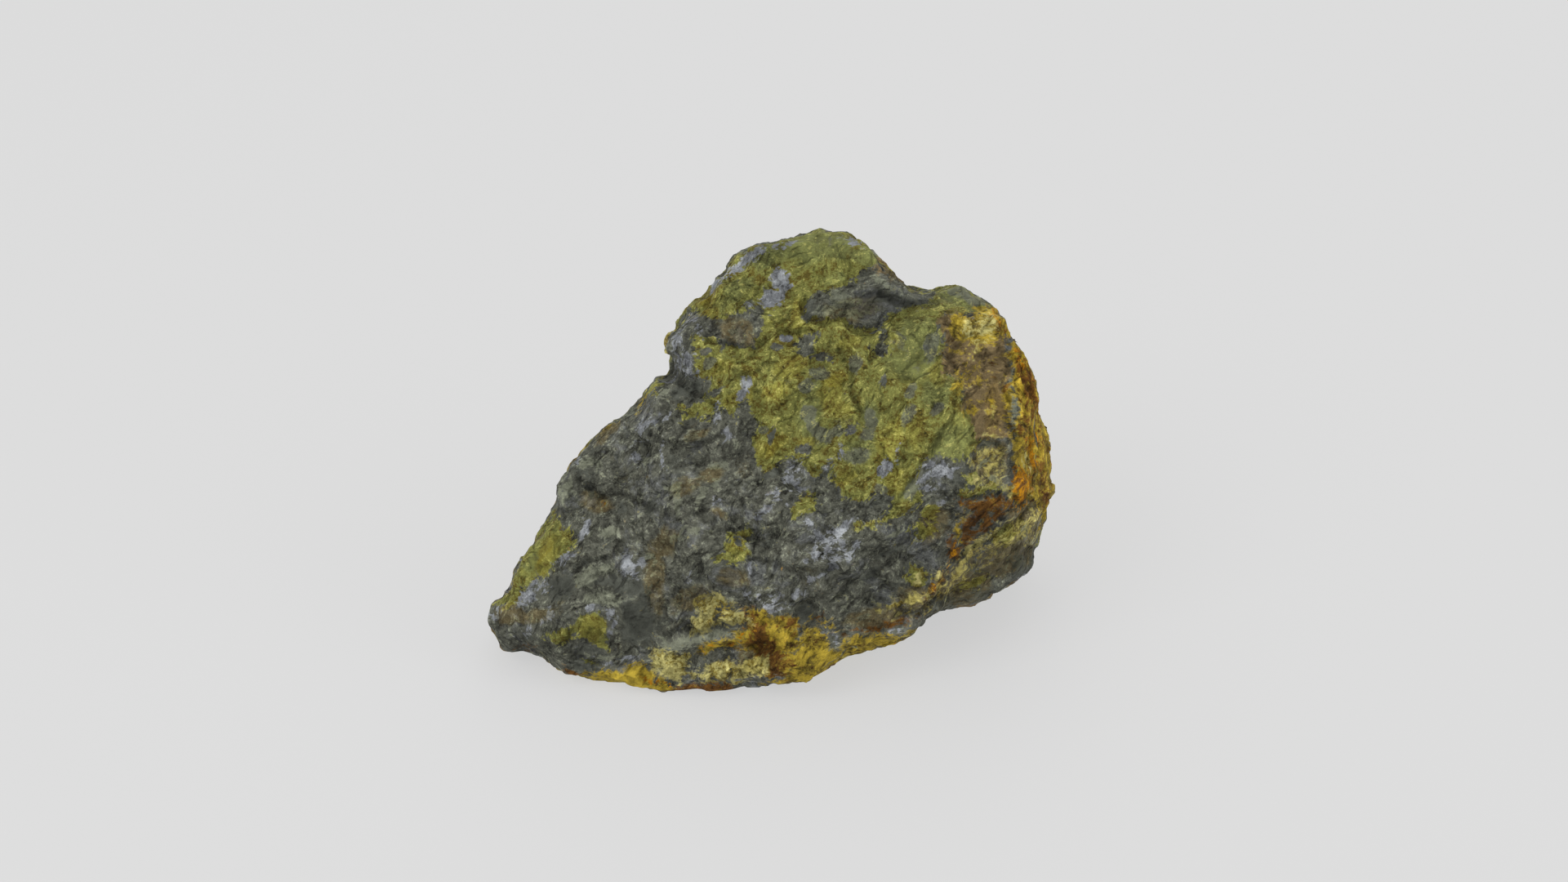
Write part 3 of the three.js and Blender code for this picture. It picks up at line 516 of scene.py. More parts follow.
# Creases and cracks: half width in millimetres, depth as a share of the full depth, and the line followed.
CREASES = [
    (0.5, 0.5, [(-21.5, 21.4), (-19.5, 18.6), (-17.6, 16.9), (-14.6, 15.7), (-13, 13.6)]),
    (0.4, 0.5, [(-12.7, 29.4), (-14.4, 26.4), (-10.9, 25.7), (-6, 24.6), (-4.5, 25.5), (-3, 27), (0, 27.5),
     (5.2, 27.7)]),
    (0.5, 0.7, [(3.8, 33), (3.5, 31.1), (4.1, 29.8), (6.7, 29.5), (10.5, 30.2), (12.4, 29), (14.2, 28),
     (17.2, 28.4)]),
    (0.25, 0.3, [(18, 28), (17.7, 27), (16.7, 24), (15.8, 21.6)]),
    (0.5, 0.6, [(15.5, 34.6), (19, 33.5), (23, 32.7), (28, 32.6)]),
    (0.35, 0.5, [(20.8, -3.8), (22.2, -0.8), (24.4, 1.9), (25.6, 5.2), (28.6, 8.4), (31.2, 13.2),
     (31.4, 17)]),
    (0.3, 0.4, [(34, 7.4), (37, 7.8), (39.6, 6.4), (40.2, 3.6), (38, 1.6)]),
    (0.4, 0.5, [(30.5, -3.4), (35, -2.6), (41.6, -2.2), (43.4, -4)]),
    (0.35, 0.5, [(31.2, -14.6), (34, -12.6), (37.7, -10.6), (40.3, -8.6), (44.6, -5.4), (47, -3.8)]),
    (0.35, 0.4, [(-6.6, -14.2), (-2.6, -15), (1.5, -16.2), (6.5, -16.6), (10, -15.8)]),
    (0.4, 0.5, [(-6.8, -9.8), (-4.6, -11), (-5, -13)]),
    (0.45, 0.6, [(-22, -28.2), (-18.4, -26.4), (-16.6, -27.6), (-12, -26.9), (-9, -26.2)]),
    (0.4, 0.5, [(-39, -27.6), (-40.8, -30), (-39, -32), (-34, -33)]),
    (0.35, 0.4, [(31, 20.2), (30.2, 22.4), (31.8, 25), (33.6, 26.6)]),
    (0.3, 0.5, [(39.2, 25.4), (41.2, 22), (40.2, 18.6), (41.6, 15)]),
    (0.3, 0.5, [(40.3, 12.6), (42.2, 8.4), (41.8, 4.6), (43.6, 1.4)]),
    (0.25, 0.4, [(43.6, 21), (44.8, 16.4), (44.4, 12.2), (45.8, 7.6)]),
    (0.3, 0.4, [(-10.6, 18.6), (-8.4, 19.4), (-5.6, 20.4), (-3.8, 21.6)]),
    (0.35, 0.4, [(-36, -1), (-32.6, -2.4), (-28.4, -2.6), (-25, -4.8), (-21, -5.4)]),
    (0.35, 0.4, [(-24, 8.4), (-20, 6.6), (-15.4, 6.8), (-11.4, 9)]),
    (0.35, 0.4, [(10.2, 24), (12.6, 20.6), (12.2, 16.4), (14.4, 12.6)]),
    (0.3, 0.4, [(20.6, -14.6), (16.4, -17), (12, -18.6), (8.6, -21.4)]),
    (0.35, 0.5, [(26.8, -18.6), (27.6, -21.4), (24.6, -23.6), (20, -24.4)]),
    (0.3, 0.4, [(-30.4, -12.4), (-32.6, -13.6), (-36, -14.2), (-38.6, -16)]),
]

# Out of sight at the front, each mineral grows in clumps of this width in millimetres, the rarer the higher
# the second number, from -1 to 1. The crust grows only in zones of CRUST_ZONE millimetres, which come in over
# this range of their noise.
GROWTHS = {
    "chalcopyrite": (13, 0.22), "pale": (6, 0.3), "slate": (8, 0.28), "galena": (5, 0.34), "mauve": (10, 0.3),
    "ochre": (9, 0.12), "rust": (7, 0.25), "orange": (5, 0.52), "cream": (7, 0.24),
}
CRUST_ZONE = 26
CRUST_ZONE_EDGE = (0.0, 0.25)
# How sharp the clumps' edges are, and the most cover inside them.
CRUST_CLUMP = (0.22, 0.64)
ROCK_CLUMP = (0.4, 0.9)

# Out of sight at the front, the minerals also go on as balls through the stone: place from the heart in
# millimetres, radius and strength. POD_SOFTNESS is the width of their edges.
POD_SOFTNESS = 5
PODS = {
    "chalcopyrite": [((-8, 24, 16), 19, 0.9), ((30, 16, 6), 15, 0.9), ((8, 30, -16), 13, 0.8),
        ((-38, 12, -18), 9, 0.9), ((14, 0, -32), 14, 0.7), ((-24, -4, -30), 9, 0.8),
        ((20, 12, 38), 13, 0.9)],
    "pale": [((-16, 30, -8), 4, 0.9), ((22, 34, -4), 3.4, 0.9), ((-28, 18, 4), 3, 0.8)],
    "slate": [((2, 34, 4), 5, 0.9), ((-30, 16, -14), 4.4, 0.9), ((36, 24, -12), 5, 0.9),
        ((22, 26, 24), 4, 0.9)],
    "galena": [((-2, 32, 20), 3.4, 0.9), ((14, 33, 6), 2.8, 0.9), ((-22, 22, 10), 3, 0.9),
        ((28, 28, 14), 2.6, 0.9), ((-12, 32, -18), 2.8, 0.9), ((40, 16, 2), 2.4, 0.9),
        ((-40, 6, -14), 2.4, 0.9)],
    "mauve": [((6, 30, 30), 6, 0.8), ((44, 10, 12), 6, 0.8)],
    "ochre": [((46, 4, 4), 13, 0.6), ((34, 24, -22), 9, 0.9), ((-30, -6, -30), 10, 0.8),
        ((4, -20, -30), 11, 0.9), ((0, 28, -26), 7, 0.9)],
    "rust": [((46, 14, -4), 9, 0.58), ((30, 28, -24), 5, 0.62), ((-6, 32, -24), 5, 0.62),
        ((-20, -18, -30), 6, 0.7)],
    "orange": [((47, 8, 8), 4, 0.6), ((38, 22, -14), 4, 0.6)],
    "cream": [((42, 14, -16), 6, 0.6), ((14, 32, -24), 5, 0.6), ((-36, 14, -24), 4, 0.6)],
}


# ---- Laying the minerals out ----

# Places are pushed about before a pattern is read there: the width of the wanderings and their reach, in
# millimetres, and a number that sets one push apart from another. The odd multipliers below keep one noise
# apart from the next in the same way.
EDGE_PUSH = (4.0, 0.9, 1)
CLUMP_PUSHES = ((24.0, 9.0, 2), (9.0, 3.0, 3))
# What shows at the front, by how the skin faces the line of sight: 1 is straight at it, 0 is edge on and -1
# away. It starts at the first number and is full at the second. Knocks are carried further round. The skin's
# facing is evened out over FACING_STEPS.
PATCHES_SHOW = (0.06, 0.3)
FACING_STEPS = 12
KNOCKS = {"spur": (SPUR_SPOTS, (-0.3, 0.0)), "nick": (NICK_SPOTS, (-0.95, -0.45))}
# How wide a patch's soft edge is: a field's in millimetres, and a spot's in half widths, between the least
# and the most in millimetres.
FIELD_SOFTNESS = 3.0
SPOT_SOFTNESS = 2.2
LEAST_SOFTNESS = 0.9
MOST_SOFTNESS = 4
# Where a tint starts to fade and is gone, 1 being its spot's edge, and the same for a crease in half widths.
GLOW_FADE = (0.4, 1.5)
CREASE_FADE = (0.4, 2.4)


def ramp(value, low, high):
    """0 below low, 1 above high and a smooth rise between."""
    t = np.clip((value - low) / (high - low), 0, 1)
    return t * t * (3 - 2 * t)


def wobble(points, size, reach, seed):
    """Points pushed about at random, the same way each time."""
    shift = Vector((seed * 17.3, seed * 5.1, seed * 9.7))
    return points + reach * np.array([noise.noise_vector(Vector(p) / size + shift) for p in points])


def clumps(points, size, shift=(0, 0, 0)):
    """Smooth noise from -1 to 1, in clumps of a size."""
    shift = Vector(shift)
    return np.array([noise.noise(Vector(p) / size + shift) for p in points])


def sight_place(points):
    """Where points lie across and up the line of sight."""
    out = points - np.array(HEART)
    near = 1 / (1 - out @ np.array(TOWARDS) / SIGHT_DISTANCE)
    return out @ np.array(RIGHT) * near, out @ np.array(UP) * near


def spot_distance(across, up, spot):
    """How far places lie from the middle of a spot, 1 being its edge."""
    middle, height, half_length, half_width, turn = spot[:5]
    cos, sin = math.cos(math.radians(turn)), math.sin(math.radians(turn))
    along = ((across - middle) * cos + (up - height) * sin) / half_length
    aside = ((up - height) * cos - (across - middle) * sin) / half_width
    return np.hypot(along, aside)


def line_distance(across, up, lines):
    """How far places lie from the nearest of some straight lines, in millimetres."""
    nearest = np.full(len(across), np.inf)
    for (x1, y1), (x2, y2) in lines:
        run, rise = x2 - x1, y2 - y1
        t = np.clip(((across - x1) * run + (up - y1) * rise) / (run * run + rise * rise), 0, 1)
        nearest = np.minimum(nearest, np.hypot(across - x1 - t * run, up - y1 - t * rise))
    return nearest


def spot_cover(across, up, spot):
    """How much of a spot there is at each place: one half at its edge, more inside."""
    half_width, share = spot[3], spot[5] if len(spot) > 5 else 1
    softness = min(max(SPOT_SOFTNESS * half_width, LEAST_SOFTNESS), MOST_SOFTNESS)
    return np.clip(0.5 + (1 - spot_distance(across, up, spot)) * half_width / softness, 0, 1) * share


def field_cover(across, up, outline):
    """The same for a field, by how far inside its outline each place lies."""
    sides = list(zip(outline, outline[1:] + outline[:1]))
    nearest = line_distance(across, up, sides)
    inside = np.zeros(len(across), bool)
    for (x1, y1), (x2, y2) in sides:
        if y1 != y2:
            crosses = (up > min(y1, y2)) & (up <= max(y1, y2))
            inside ^= crosses & (across < x1 + (up - y1) * (x2 - x1) / (y2 - y1))
    return np.clip(0.5 + np.where(inside, nearest, -nearest) / FIELD_SOFTNESS, 0, 1)


def patches_cover(across, up, fields, spots):
    """The most cover that any of the fields and spots gives each place."""
    cover = np.zeros(len(across))
    for share, outline in fields:
        cover = np.maximum(cover, share * field_cover(across, up, outline))
    for spot in spots:
        cover = np.maximum(cover, spot_cover(across, up, spot))
    return cover


def spots_glow(across, up, spots):
    """A tint that is full in the middle of each spot and fades past its edge."""
    glow = np.zeros(len(across))
    for spot in spots:
        glow = np.maximum(glow, 1 - ramp(spot_distance(across, up, spot), *GLOW_FADE))
    return glow


def lay_back(points):
    """How much of each mineral there is at each point where the front's patches don't reach."""
    for push in CLUMP_PUSHES:
        points = wobble(points, *push)
    points = points - np.array(HEART)
    crust_zone = ramp(clumps(points, CRUST_ZONE), *CRUST_ZONE_EDGE)
    covers = {}
    for number, mineral in enumerate(PATCHES):
        size, rarity = GROWTHS[mineral]
        sharpness, most = CRUST_CLUMP if mineral in CRUST else ROCK_CLUMP
        growth = clumps(points, size, (31.7 * number, 11.9, 0))
        cover = np.clip(0.5 + (growth - rarity) * size * sharpness, 0, most)
        if mineral in CRUST:
            cover *= crust_zone
        for place, radius, share in PODS[mineral]:
            away = np.linalg.norm(points - np.array(place), axis=1)
            cover = np.maximum(cover, share * np.clip(0.5 + (radius - away) / POD_SOFTNESS, 0, 1))
        covers[mineral] = cover
    return covers


def lay_out(mesh):
    """How much of each mineral, tint and crease there is at each vertex, and how much of each knock."""
    points = vertex_places(mesh)
    across, up = sight_place(wobble(points, *EDGE_PUSH))
    facing = evened(mesh, vertex_normals(mesh), FACING_STEPS) @ np.array(TOWARDS)
    seen = ramp(facing, *PATCHES_SHOW)
    front = {mineral: patches_cover(across, up, *patches) for mineral, patches in PATCHES.items()}
    for minerals, fields, spots in GAPS:
        kept = 1 - patches_cover(across, up, fields, spots)
        for mineral in minerals:
            front[mineral] *= kept
    back = lay_back(points)
    covers = {mineral: seen * front[mineral] + (1 - seen) * back[mineral] for mineral in PATCHES}
    for tint, spots in TINTS.items():
        covers[tint] = spots_glow(across, up, spots) * seen
    knocks = {}
    for knock, (spots, show) in KNOCKS.items():
        knocks[knock] = spots_glow(across, up, spots) * ramp(facing, *show)
    covers["crease"] = knocks["crease"] = np.zeros(len(points))
    # Creases are sunk into the skin, and their cover also darkens the colour there as painted shade.
    for half_width, depth, line in CREASES:
        away = line_distance(across, up, zip(line, line[1:]))
        near = (1 - ramp(away, half_width * CREASE_FADE[0], half_width * CREASE_FADE[1])) * seen
        covers["crease"] = np.maximum(covers["crease"], near)
        knocks["crease"] = np.maximum(knocks["crease"], near * depth)
    return covers, knocks


# ---- The stone ----

WEIGHT_STEPS = 200
# How sharply one facet gives way to the next, how far each is raised or sunk, and how far it tilts.
FACET_SHARPNESS = 16
FACET_LIFT = 0.6
FACET_TILT = 1.5
# The shares of the large facets and of the small chips in the height of the broken surface.
FACET_SHARE = 0.72
CHIP_SHARE = 0.28
# How knobbly each crust is.
KNOBS = {"cream": 1.0, "ochre": 0.7, "rust": 0.5, "orange": 0.5}
# Relief fades in between these heights above the base, in millimetres.
BASE_FADE = (0.4, 2.5)
# A fold starts to be eased at the first number and is eased in full at the second: they are 1 less the cosine
# of the turn between its skin and the skin around it.
FOLD_TURN = (0.55, 0.95)
FOLD_WEIGHT = 2.5
# In millimetres: vertices lower than BASE_TOP are pushed down past the cut, and the rim above the cut is
# smoothed, less and less between the heights of RIM_FADE.
BASE_TOP = 0.3
ON_CUT = 0.001
RIM_FADE = (0.5, 2.0)
# A hollow is measured against the skin evened out over this many steps.
HOLLOW_STEPS = 6


def select_only(piece):
    bpy.ops.object.select_all(action="DESELECT")
    piece.select_set(True)
    bpy.context.view_layer.objects.active = piece


def apply_modifier(piece, kind, **settings):
    select_only(piece)
    modifier = piece.modifiers.new(kind.title(), kind)
    for name, value in settings.items():
        setattr(modifier, name, value)
    bpy.ops.object.modifier_apply(modifier=modifier.name)


def vertex_places(mesh):
    """The places of a mesh's vertices in millimetres."""
    places = np.empty(len(mesh.vertices) * 3)
    mesh.vertices.foreach_get("co", places)
    return places.reshape(-1, 3) / MM


def vertex_normals(mesh):
    normals = np.empty(len(mesh.vertices) * 3)
    mesh.vertices.foreach_get("normal", normals)
    return normals.reshape(-1, 3)


def evened(mesh, values, steps):
    """Three numbers a vertex, averaged with those of its neighbours over so many steps."""
    edges = np.empty(len(mesh.edges) * 2, int)
    mesh.edges.foreach_get("vertices", edges)
    ends = np.concatenate([edges.reshape(-1, 2), edges.reshape(-1, 2)[:, ::-1]])
    count = np.maximum(np.bincount(ends[:, 0], minlength=len(mesh.vertices)), 1)
    for _ in range(steps):
        values = np.stack([
            np.bincount(ends[:, 0], values[ends[:, 1], axis], len(mesh.vertices)) / count for axis in range(3)
        ], axis=1)
    return values


def fine_skin(shape):
    """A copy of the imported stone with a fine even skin."""
    select_only(frame["nodes"][STONE_NODE])
    bpy.ops.object.duplicate()
    stone = bpy.context.object
    stone.name = stone.data.name = STONE_NAME
    for key in list(stone.keys()):
        del stone[key]
    bpy.ops.object.parent_clear(type="CLEAR_KEEP_TRANSFORM")
    stone.data.materials.clear()
    bpy.ops.object.mode_set(mode="EDIT")
    bpy.ops.mesh.select_all(action="SELECT")
    bpy.ops.mesh.remove_doubles(threshold=0.01 * MM)
    bpy.ops.object.mode_set(mode="OBJECT")
    apply_modifier(stone, "REMESH", mode="VOXEL", voxel_size=shape.skin_cell)
    apply_modifier(stone, "SMOOTH", factor=0.5, iterations=4)
    return stone


def weight(piece, name, weights):
    """Keeps a weight from 0 to 1 for each vertex, for a modifier to read."""
    group = piece.vertex_groups.new(name=name)
    steps = np.round(np.clip(weights, 0, 1) * WEIGHT_STEPS).astype(int)
    for step in range(1, WEIGHT_STEPS + 1):
        chosen = np.flatnonzero(steps == step)
        if len(chosen):
            group.add(chosen.tolist(), step / WEIGHT_STEPS, "REPLACE")
    return group.name


def facets(points, size, seed):
    """Heights, about 0 to 1, of a surface broken into small flat facets, each tilted its own way."""
    heights = np.empty(len(points))
    shift = Vector((seed * 3.7, seed * 8.3, seed * 2.9))
    for i, point in enumerate(points):
        place = Vector(point) / size + shift
        gaps, middles = noise.voronoi(place)
        total = height = 0.0
        for gap, middle in zip(gaps[:3], middles[:3]):
            share = math.exp((gaps[0] - gap) * FACET_SHARPNESS)
            tilt = noise.noise_vector(middle * 7.31)
            lift = noise.noise(middle * 5.17) * FACET_LIFT
            height += share * (lift + tilt.dot(place - middle) * FACET_TILT)
            total += share
        heights[i] = 0.5 + height / total
    return heights


def ease_folds(stone):
    """Smooths thorns and folds, where the skin turns away from the skin around it."""
    normals = vertex_normals(stone.data)
    around = evened(stone.data, normals, 6)
    around /= np.linalg.norm(around, axis=1)[:, None]
    turned = ramp(1 - np.sum(normals * around, axis=1), *FOLD_TURN)
    turned = evened(stone.data, np.stack([turned] * 3, axis=1), 3)[:, 0] * FOLD_WEIGHT
    apply_modifier(stone, "SMOOTH", factor=0.6, iterations=12, vertex_group=weight(stone, "folds", turned))


def cut_base(stone, low):
    """Cuts the stone level. The low vertices go down first, so that the cut meets the sides alone."""
    base = weight(stone, "base", low)
    apply_modifier(stone, "DISPLACE", strength=-MM, mid_level=0, vertex_group=base, direction="Z")
    bpy.ops.object.mode_set(mode="EDIT")
    bpy.ops.mesh.select_all(action="SELECT")
    bpy.ops.mesh.bisect(plane_co=(0, 0, 0), plane_no=(0, 0, 1), use_fill=True, clear_inner=True)
    bpy.ops.object.mode_set(mode="OBJECT")
    heights = vertex_places(stone.data)[:, 2]
    rim = weight(stone, "rim", (heights > ON_CUT) * (1 - ramp(heights, *RIM_FADE)))
    apply_modifier(stone, "SMOOTH", factor=0.6, iterations=8, vertex_group=rim)


def raise_relief(stone, covers, knocks, shape):
    """Breaks the skin into facets and chips, and gives the crust its knobs and pits."""
    points = vertex_places(stone.data)
    above_base = ramp(points[:, 2], *BASE_FADE)
    crust = np.clip(sum(share * covers[mineral] for mineral, share in KNOBS.items()), 0, 1)

    def displace(name, weights, height, texture=None, middle=0, **look):
        settings = {
            "strength": height, "mid_level": middle, "texture_coords": "LOCAL",
            "vertex_group": weight(stone, name, weights * above_base),
        }
        if texture:
            settings["texture"] = bpy.data.textures.new(name, texture)
            for key, value in look.items():
                setattr(settings["texture"], key, value)
        apply_modifier(stone, "DISPLACE", **settings)

    # Spurs and nicks come while the skin is still smooth, so that it can't fold over itself there.
    displace("spurs", knocks["spur"], shape.spur_height)
    displace("nicks", knocks["nick"], -shape.nick_depth)
    broken = FACET_SHARE * facets(points, shape.facet_size / MM, 1)
    broken += CHIP_SHARE * facets(points, shape.chip_size / MM, 2)
    displace("facets", broken, shape.facet_height * 2)
    displace("settle", np.ones(len(points)), -shape.facet_height)
    displace("creases", knocks["crease"], -shape.crease_depth)
    displace("chips", 1 - 0.5 * crust, shape.chip_height * 2, "CLOUDS", middle=0.5,
             noise_scale=shape.chip_size * 0.5, noise_depth=3, noise_basis="ORIGINAL_PERLIN")
    displace("knobs", crust, shape.crust_height * 2, "CLOUDS", middle=0.5,
             noise_scale=shape.chip_size * 0.75, noise_depth=2, noise_basis="ORIGINAL_PERLIN")
    displace("pits", ramp(covers["cream"], 0.4, 0.8), -shape.pit_depth, "CLOUDS", middle=0.62,
             noise_scale=shape.chip_size * 0.4, noise_depth=1, contrast=2.0)
    ease_folds(stone)
    cut_base(stone, points[:, 2] < BASE_TOP)
    stone.vertex_groups.clear()
    bpy.ops.object.shade_smooth()


def hollows(mesh):
    """How deep each vertex lies below those around it, in millimetres."""
    points = vertex_places(mesh)
    return np.sum((evened(mesh, points, HOLLOW_STEPS) - points) * vertex_normals(mesh), axis=1)


def keep_attribute(mesh, name, values):
    mesh.attributes.new(name, "FLOAT", "POINT").data.foreach_set("value", np.asarray(values, np.float32))


# ---- The stone's material ----

# The shades of each coat: the tone that it follows, then its shades from dark to light, each a colour and how
# bright it is.
SHADES = {
    "gangue": ("rock", ("gangue", 0.22), ("gangue", 0.6), ("gangue", 1.0), ("gangue", 1.5),
               ("pale_gangue", 2.0)),
    "chalcopyrite": ("ore", ("chalcopyrite", 0.2), ("bronze_ore", 0.68), ("chalcopyrite", 1.0),
                     ("chalcopyrite", 1.35), ("bright_ore", 1.2)),
    "gold_ore": ("ore", ("bronze_ore", 0.25), ("bronze_ore", 0.8), ("gold_ore", 1.0), ("gold_ore", 1.35),
                 ("bright_ore", 1.2)),
    "green_ore": ("ore", ("green_ore", 0.2), ("green_ore", 0.62), ("green_ore", 1.0), ("green_ore", 1.4),
                  ("bright_ore", 1.3)),
    "bronze_ore": ("ore", ("bronze_ore", 0.15), ("bronze_ore", 0.6), ("bronze_ore", 1.0),
                   ("chalcopyrite", 1.3), ("bright_ore", 1.1)),
    "window": ("ore", ("slate", 0.5), ("gangue", 0.72), ("pale_gangue", 0.66), ("pale_gangue", 0.9),
               ("green_ore", 1.5)),
    "pale": ("flake", ("gangue", 0.3), ("pale_gangue", 0.6), ("pale_gangue", 1.0), ("pale_gangue", 1.35),
             ("pale_gangue", 1.9)),
    "slate": ("flake", ("slate", 0.5), ("slate", 0.92), ("slate", 1.24), ("slate", 1.7), ("gangue", 1.8)),
    "galena": ("metal", ("gangue", 0.6), ("galena", 0.72), ("galena", 0.98), ("galena", 1.42),
               ("galena", 2.2)),
    "painted_sheen_galena": ("metal", ("galena", 0.8), ("galena", 1.25), ("galena", 1.85), ("galena", 2.4),
                      ("galena", 3.0)),
    "mauve": ("stain", ("rust", 0.45), ("mauve", 0.7), ("mauve", 0.98), ("mauve", 1.3), ("cream", 1.15)),
    "ochre": ("crust", ("rust", 0.6), ("bronze_ore", 0.85), ("ochre", 0.88), ("ochre", 1.15), ("ochre", 1.5)),
    "orange": ("rust", ("rust", 0.6), ("rust", 1.3), ("orange", 0.85), ("orange", 1.15), ("ochre", 1.3)),
    "rust": ("rust", ("rust", 0.24), ("rust", 0.66), ("rust", 1.1), ("rust", 1.6), ("ochre", 0.85)),
    "cream": ("crust", ("slate", 0.72), ("bronze_ore", 1.05), ("cream", 0.9), ("cream", 1.2),
              ("cream", 1.55)),
}
# How rough and how metallic each mineral is.
FINISHES = {
    "gangue": (0.82, 0.0), "chalcopyrite": (0.65, 0.06), "pale": (0.85, 0.0), "slate": (0.75, 0.0),
    "galena": (0.5, 0.15), "mauve": (0.85, 0.0), "ochre": (0.85, 0.0), "orange": (0.8, 0.0),
    "rust": (0.85, 0.0), "cream": (0.88, 0.0),
}
SPECULAR = 0.12

# Cloudy patterns: the places that each is read at, how many of its clouds go to a millimetre, how fine its
# detail is, and how rough.
CLOUDS = {
    "mottle": ("ruffled", 0.5, 5.0, 0.64),
    "clots": ("ruffled", 1.5, 2.0, 0.55),
    "grain": ("straight", 3.2, 1.5, 0.55),
    "slant_streaks": ("slant", 1.2, 3.0, 0.58),
    "level_streaks": ("level", 1.0, 3.0, 0.58),
    "upright_streaks": ("upright", 0.8, 4.0, 0.6),
}
# Clouds whose colour makes three patterns, with _1, _2 and _3 after the name.
THREEFOLD_CLOUDS = {
    "drift": ("swirled", 0.14, 4.0, 0.6),
    "blotches": ("rolled", 0.3, 5.0, 0.6),
    "ragged": ("ruffled", 0.6, 6.0, 0.66),
}
# Close-set angular grains: how many go to a millimetre where they slant and where they lie level.
GRAINS = {"flakes": (2.0, 1.8), "plates": (0.8, 0.7)}
# How much each pattern makes a tone swing about its middle.
TONES = {
    "rock": {"mottle": 1.3, "clots": 0.85, "streaks": 0.6, "flakes": 0.22, "grain": 0.6, "plates": 0.24,
             "blotches_1": 0.9},
    "ore": {"mottle": 1.1, "clots": 0.9, "streaks": 0.45, "flakes": 0.24, "grain": 0.7, "plates": 0.2,
            "blotches_3": 0.8},
    "crust": {"mottle": 1.3, "clots": 0.95, "upright_streaks": 0.8, "plates": 0.1, "grain": 0.5,
              "blotches_2": 1.7},
    "stain": {"mottle": 1.2, "clots": 0.9, "streaks": 0.3, "grain": 0.4, "blotches_2": 1.5},
    "rust": {"mottle": 1.1, "clots": 0.8, "slant_streaks": 1.0, "grain": 0.45, "blotches_2": 1.2},
    "metal": {"mottle": 1.0, "clots": 0.9, "streaks": 0.4, "flakes": 0.2, "grain": 0.8},
    "flake": {"level_streaks": 1.1, "mottle": 0.9, "clots": 0.6, "grain": 0.5},
}
# Marks that come and go over the skin: the attribute, pattern or number that each starts from, how much each
# pattern swings it, and where it starts to show and is full.
MARKS = {
    "greener": ("green", {"drift_1": 2.2, "ragged_3": 1.0}, 0.25, 0.9),
    "browner": ("warm", {"drift_2": 2.2, "ragged_2": 1.4}, 0.25, 0.85),
    "golden": ("gold", {"drift_3": 2.4, "ragged_1": 1.2}, 0.15, 0.75),
    "windows": ("window", {"drift_2": 2.4, "ragged_3": 1.6}, 0.35, 0.75),
    "shine": ("shine", {"ragged_3": 1.6, "clots": 0.6}, 0.35, 0.7),
    "fresh": ("fresh", {"blotches_2": 1.4, "ragged_2": 1.2}, 0.2, 0.9),
    "painted_glints": (0.5, {"flakes": 1.0, "grain": 1.2, "clots": 1.2}, 0.86, 1.02),
    "bluish": ("drift_1", {"ragged_1": 0.6}, 0.52, 0.66),
    "pale_bits": (0.0, {"ragged_3": 1.3, "blotches_3": 1.0, "clots": 0.7, "flakes": 0.3}, 0.2, 0.3),
    "dark_bits": (0.0, {"ragged_2": 1.1, "blotches_2": 1.6, "flakes": 0.3, "plates": 0.2}, 0.16, 0.26),
    "cracked": (0.0, {"blotches_3": 1.6, "ragged_1": 1.0}, -0.02, 0.14),
}
# What goes over the ore, and over the bare rock: the mark that it follows, the most of it, and its coat.
ORE_TARNISH = (
    ("browner", 0.35, "bronze_ore"), ("greener", 0.75, "green_ore"), ("golden", 0.55, "gold_ore"),
    ("windows", 0.8, "window"),
)
ROCK_TARNISH = (
    ("browner", 0.4, "mauve"), ("bluish", 0.4, "galena"), ("pale_bits", 0.75, "pale"),
    ("dark_bits", 0.75, "slate"),
)
# Painted glints, small bright highlights, on both: the most of them, and how bright they are.
ORE_PAINTED_GLINTS = (0.36, 1.0)
ROCK_PAINTED_GLINTS = (0.3, 1.6)
# The most of the painted sheen on the galena.
GALENA_PAINTED_SHEEN = 0.75
# How ragged a mineral's edge is, beside the ragged pattern's own share, and how wide it blends in.
EDGE_RAGGED = 1.5
EDGE_SWINGS = {"streaks": 0.4, "flakes": 0.3, "clots": 0.5}
SOFT_EDGED = ("mauve", "ochre", "rust", "cream")
SOFT_EDGE = 0.2
SHARP_EDGE = 0.09
# The brown stain of the warm places, and how much there is of it at most.
BROWN_STAIN = (1, 0.94, 0.68, 1)
BROWN_SHARE = 0.7
# How much darker the shaded places, creases and cracks are with painted shade, how bright the raised skin
# (painted highlight), the sunk skin (painted shade) and the fresh places are, and the depths in millimetres
# between which skin goes from raised to sunk.
PAINTED_SHADE_DARK = 0.32
CREASE_PAINTED_SHADE = 0.42
CRACK_PAINTED_SHADE = 0.45
RAISED_PAINTED_HIGHLIGHT = 1.2
SUNK_PAINTED_SHADE = 0.66
FRESH_LIGHT = 1.36
HOLLOW_DEPTHS = (-0.4, 0.4)
# How much fainter the grain of the calm places is.
CALM = 0.5
# Cracks: how many plates go to a millimetre, and how far the crack reaches from a plate's edge.
CRACK_PLATES = 0.4
CRACK_WIDTH = 0.34
# The fine relief, in millimetres: what swings it, and its chips, as how many go to a millimetre and how steep
# they are.
RELIEF = {"rock": 0.14, "crust": 0.08, "flakes": 0.08, "crack": -0.2}
RELIEF_CHIPS = {"slant": (0.4, 0.6), "ruffled": (1.1, 0.55)}


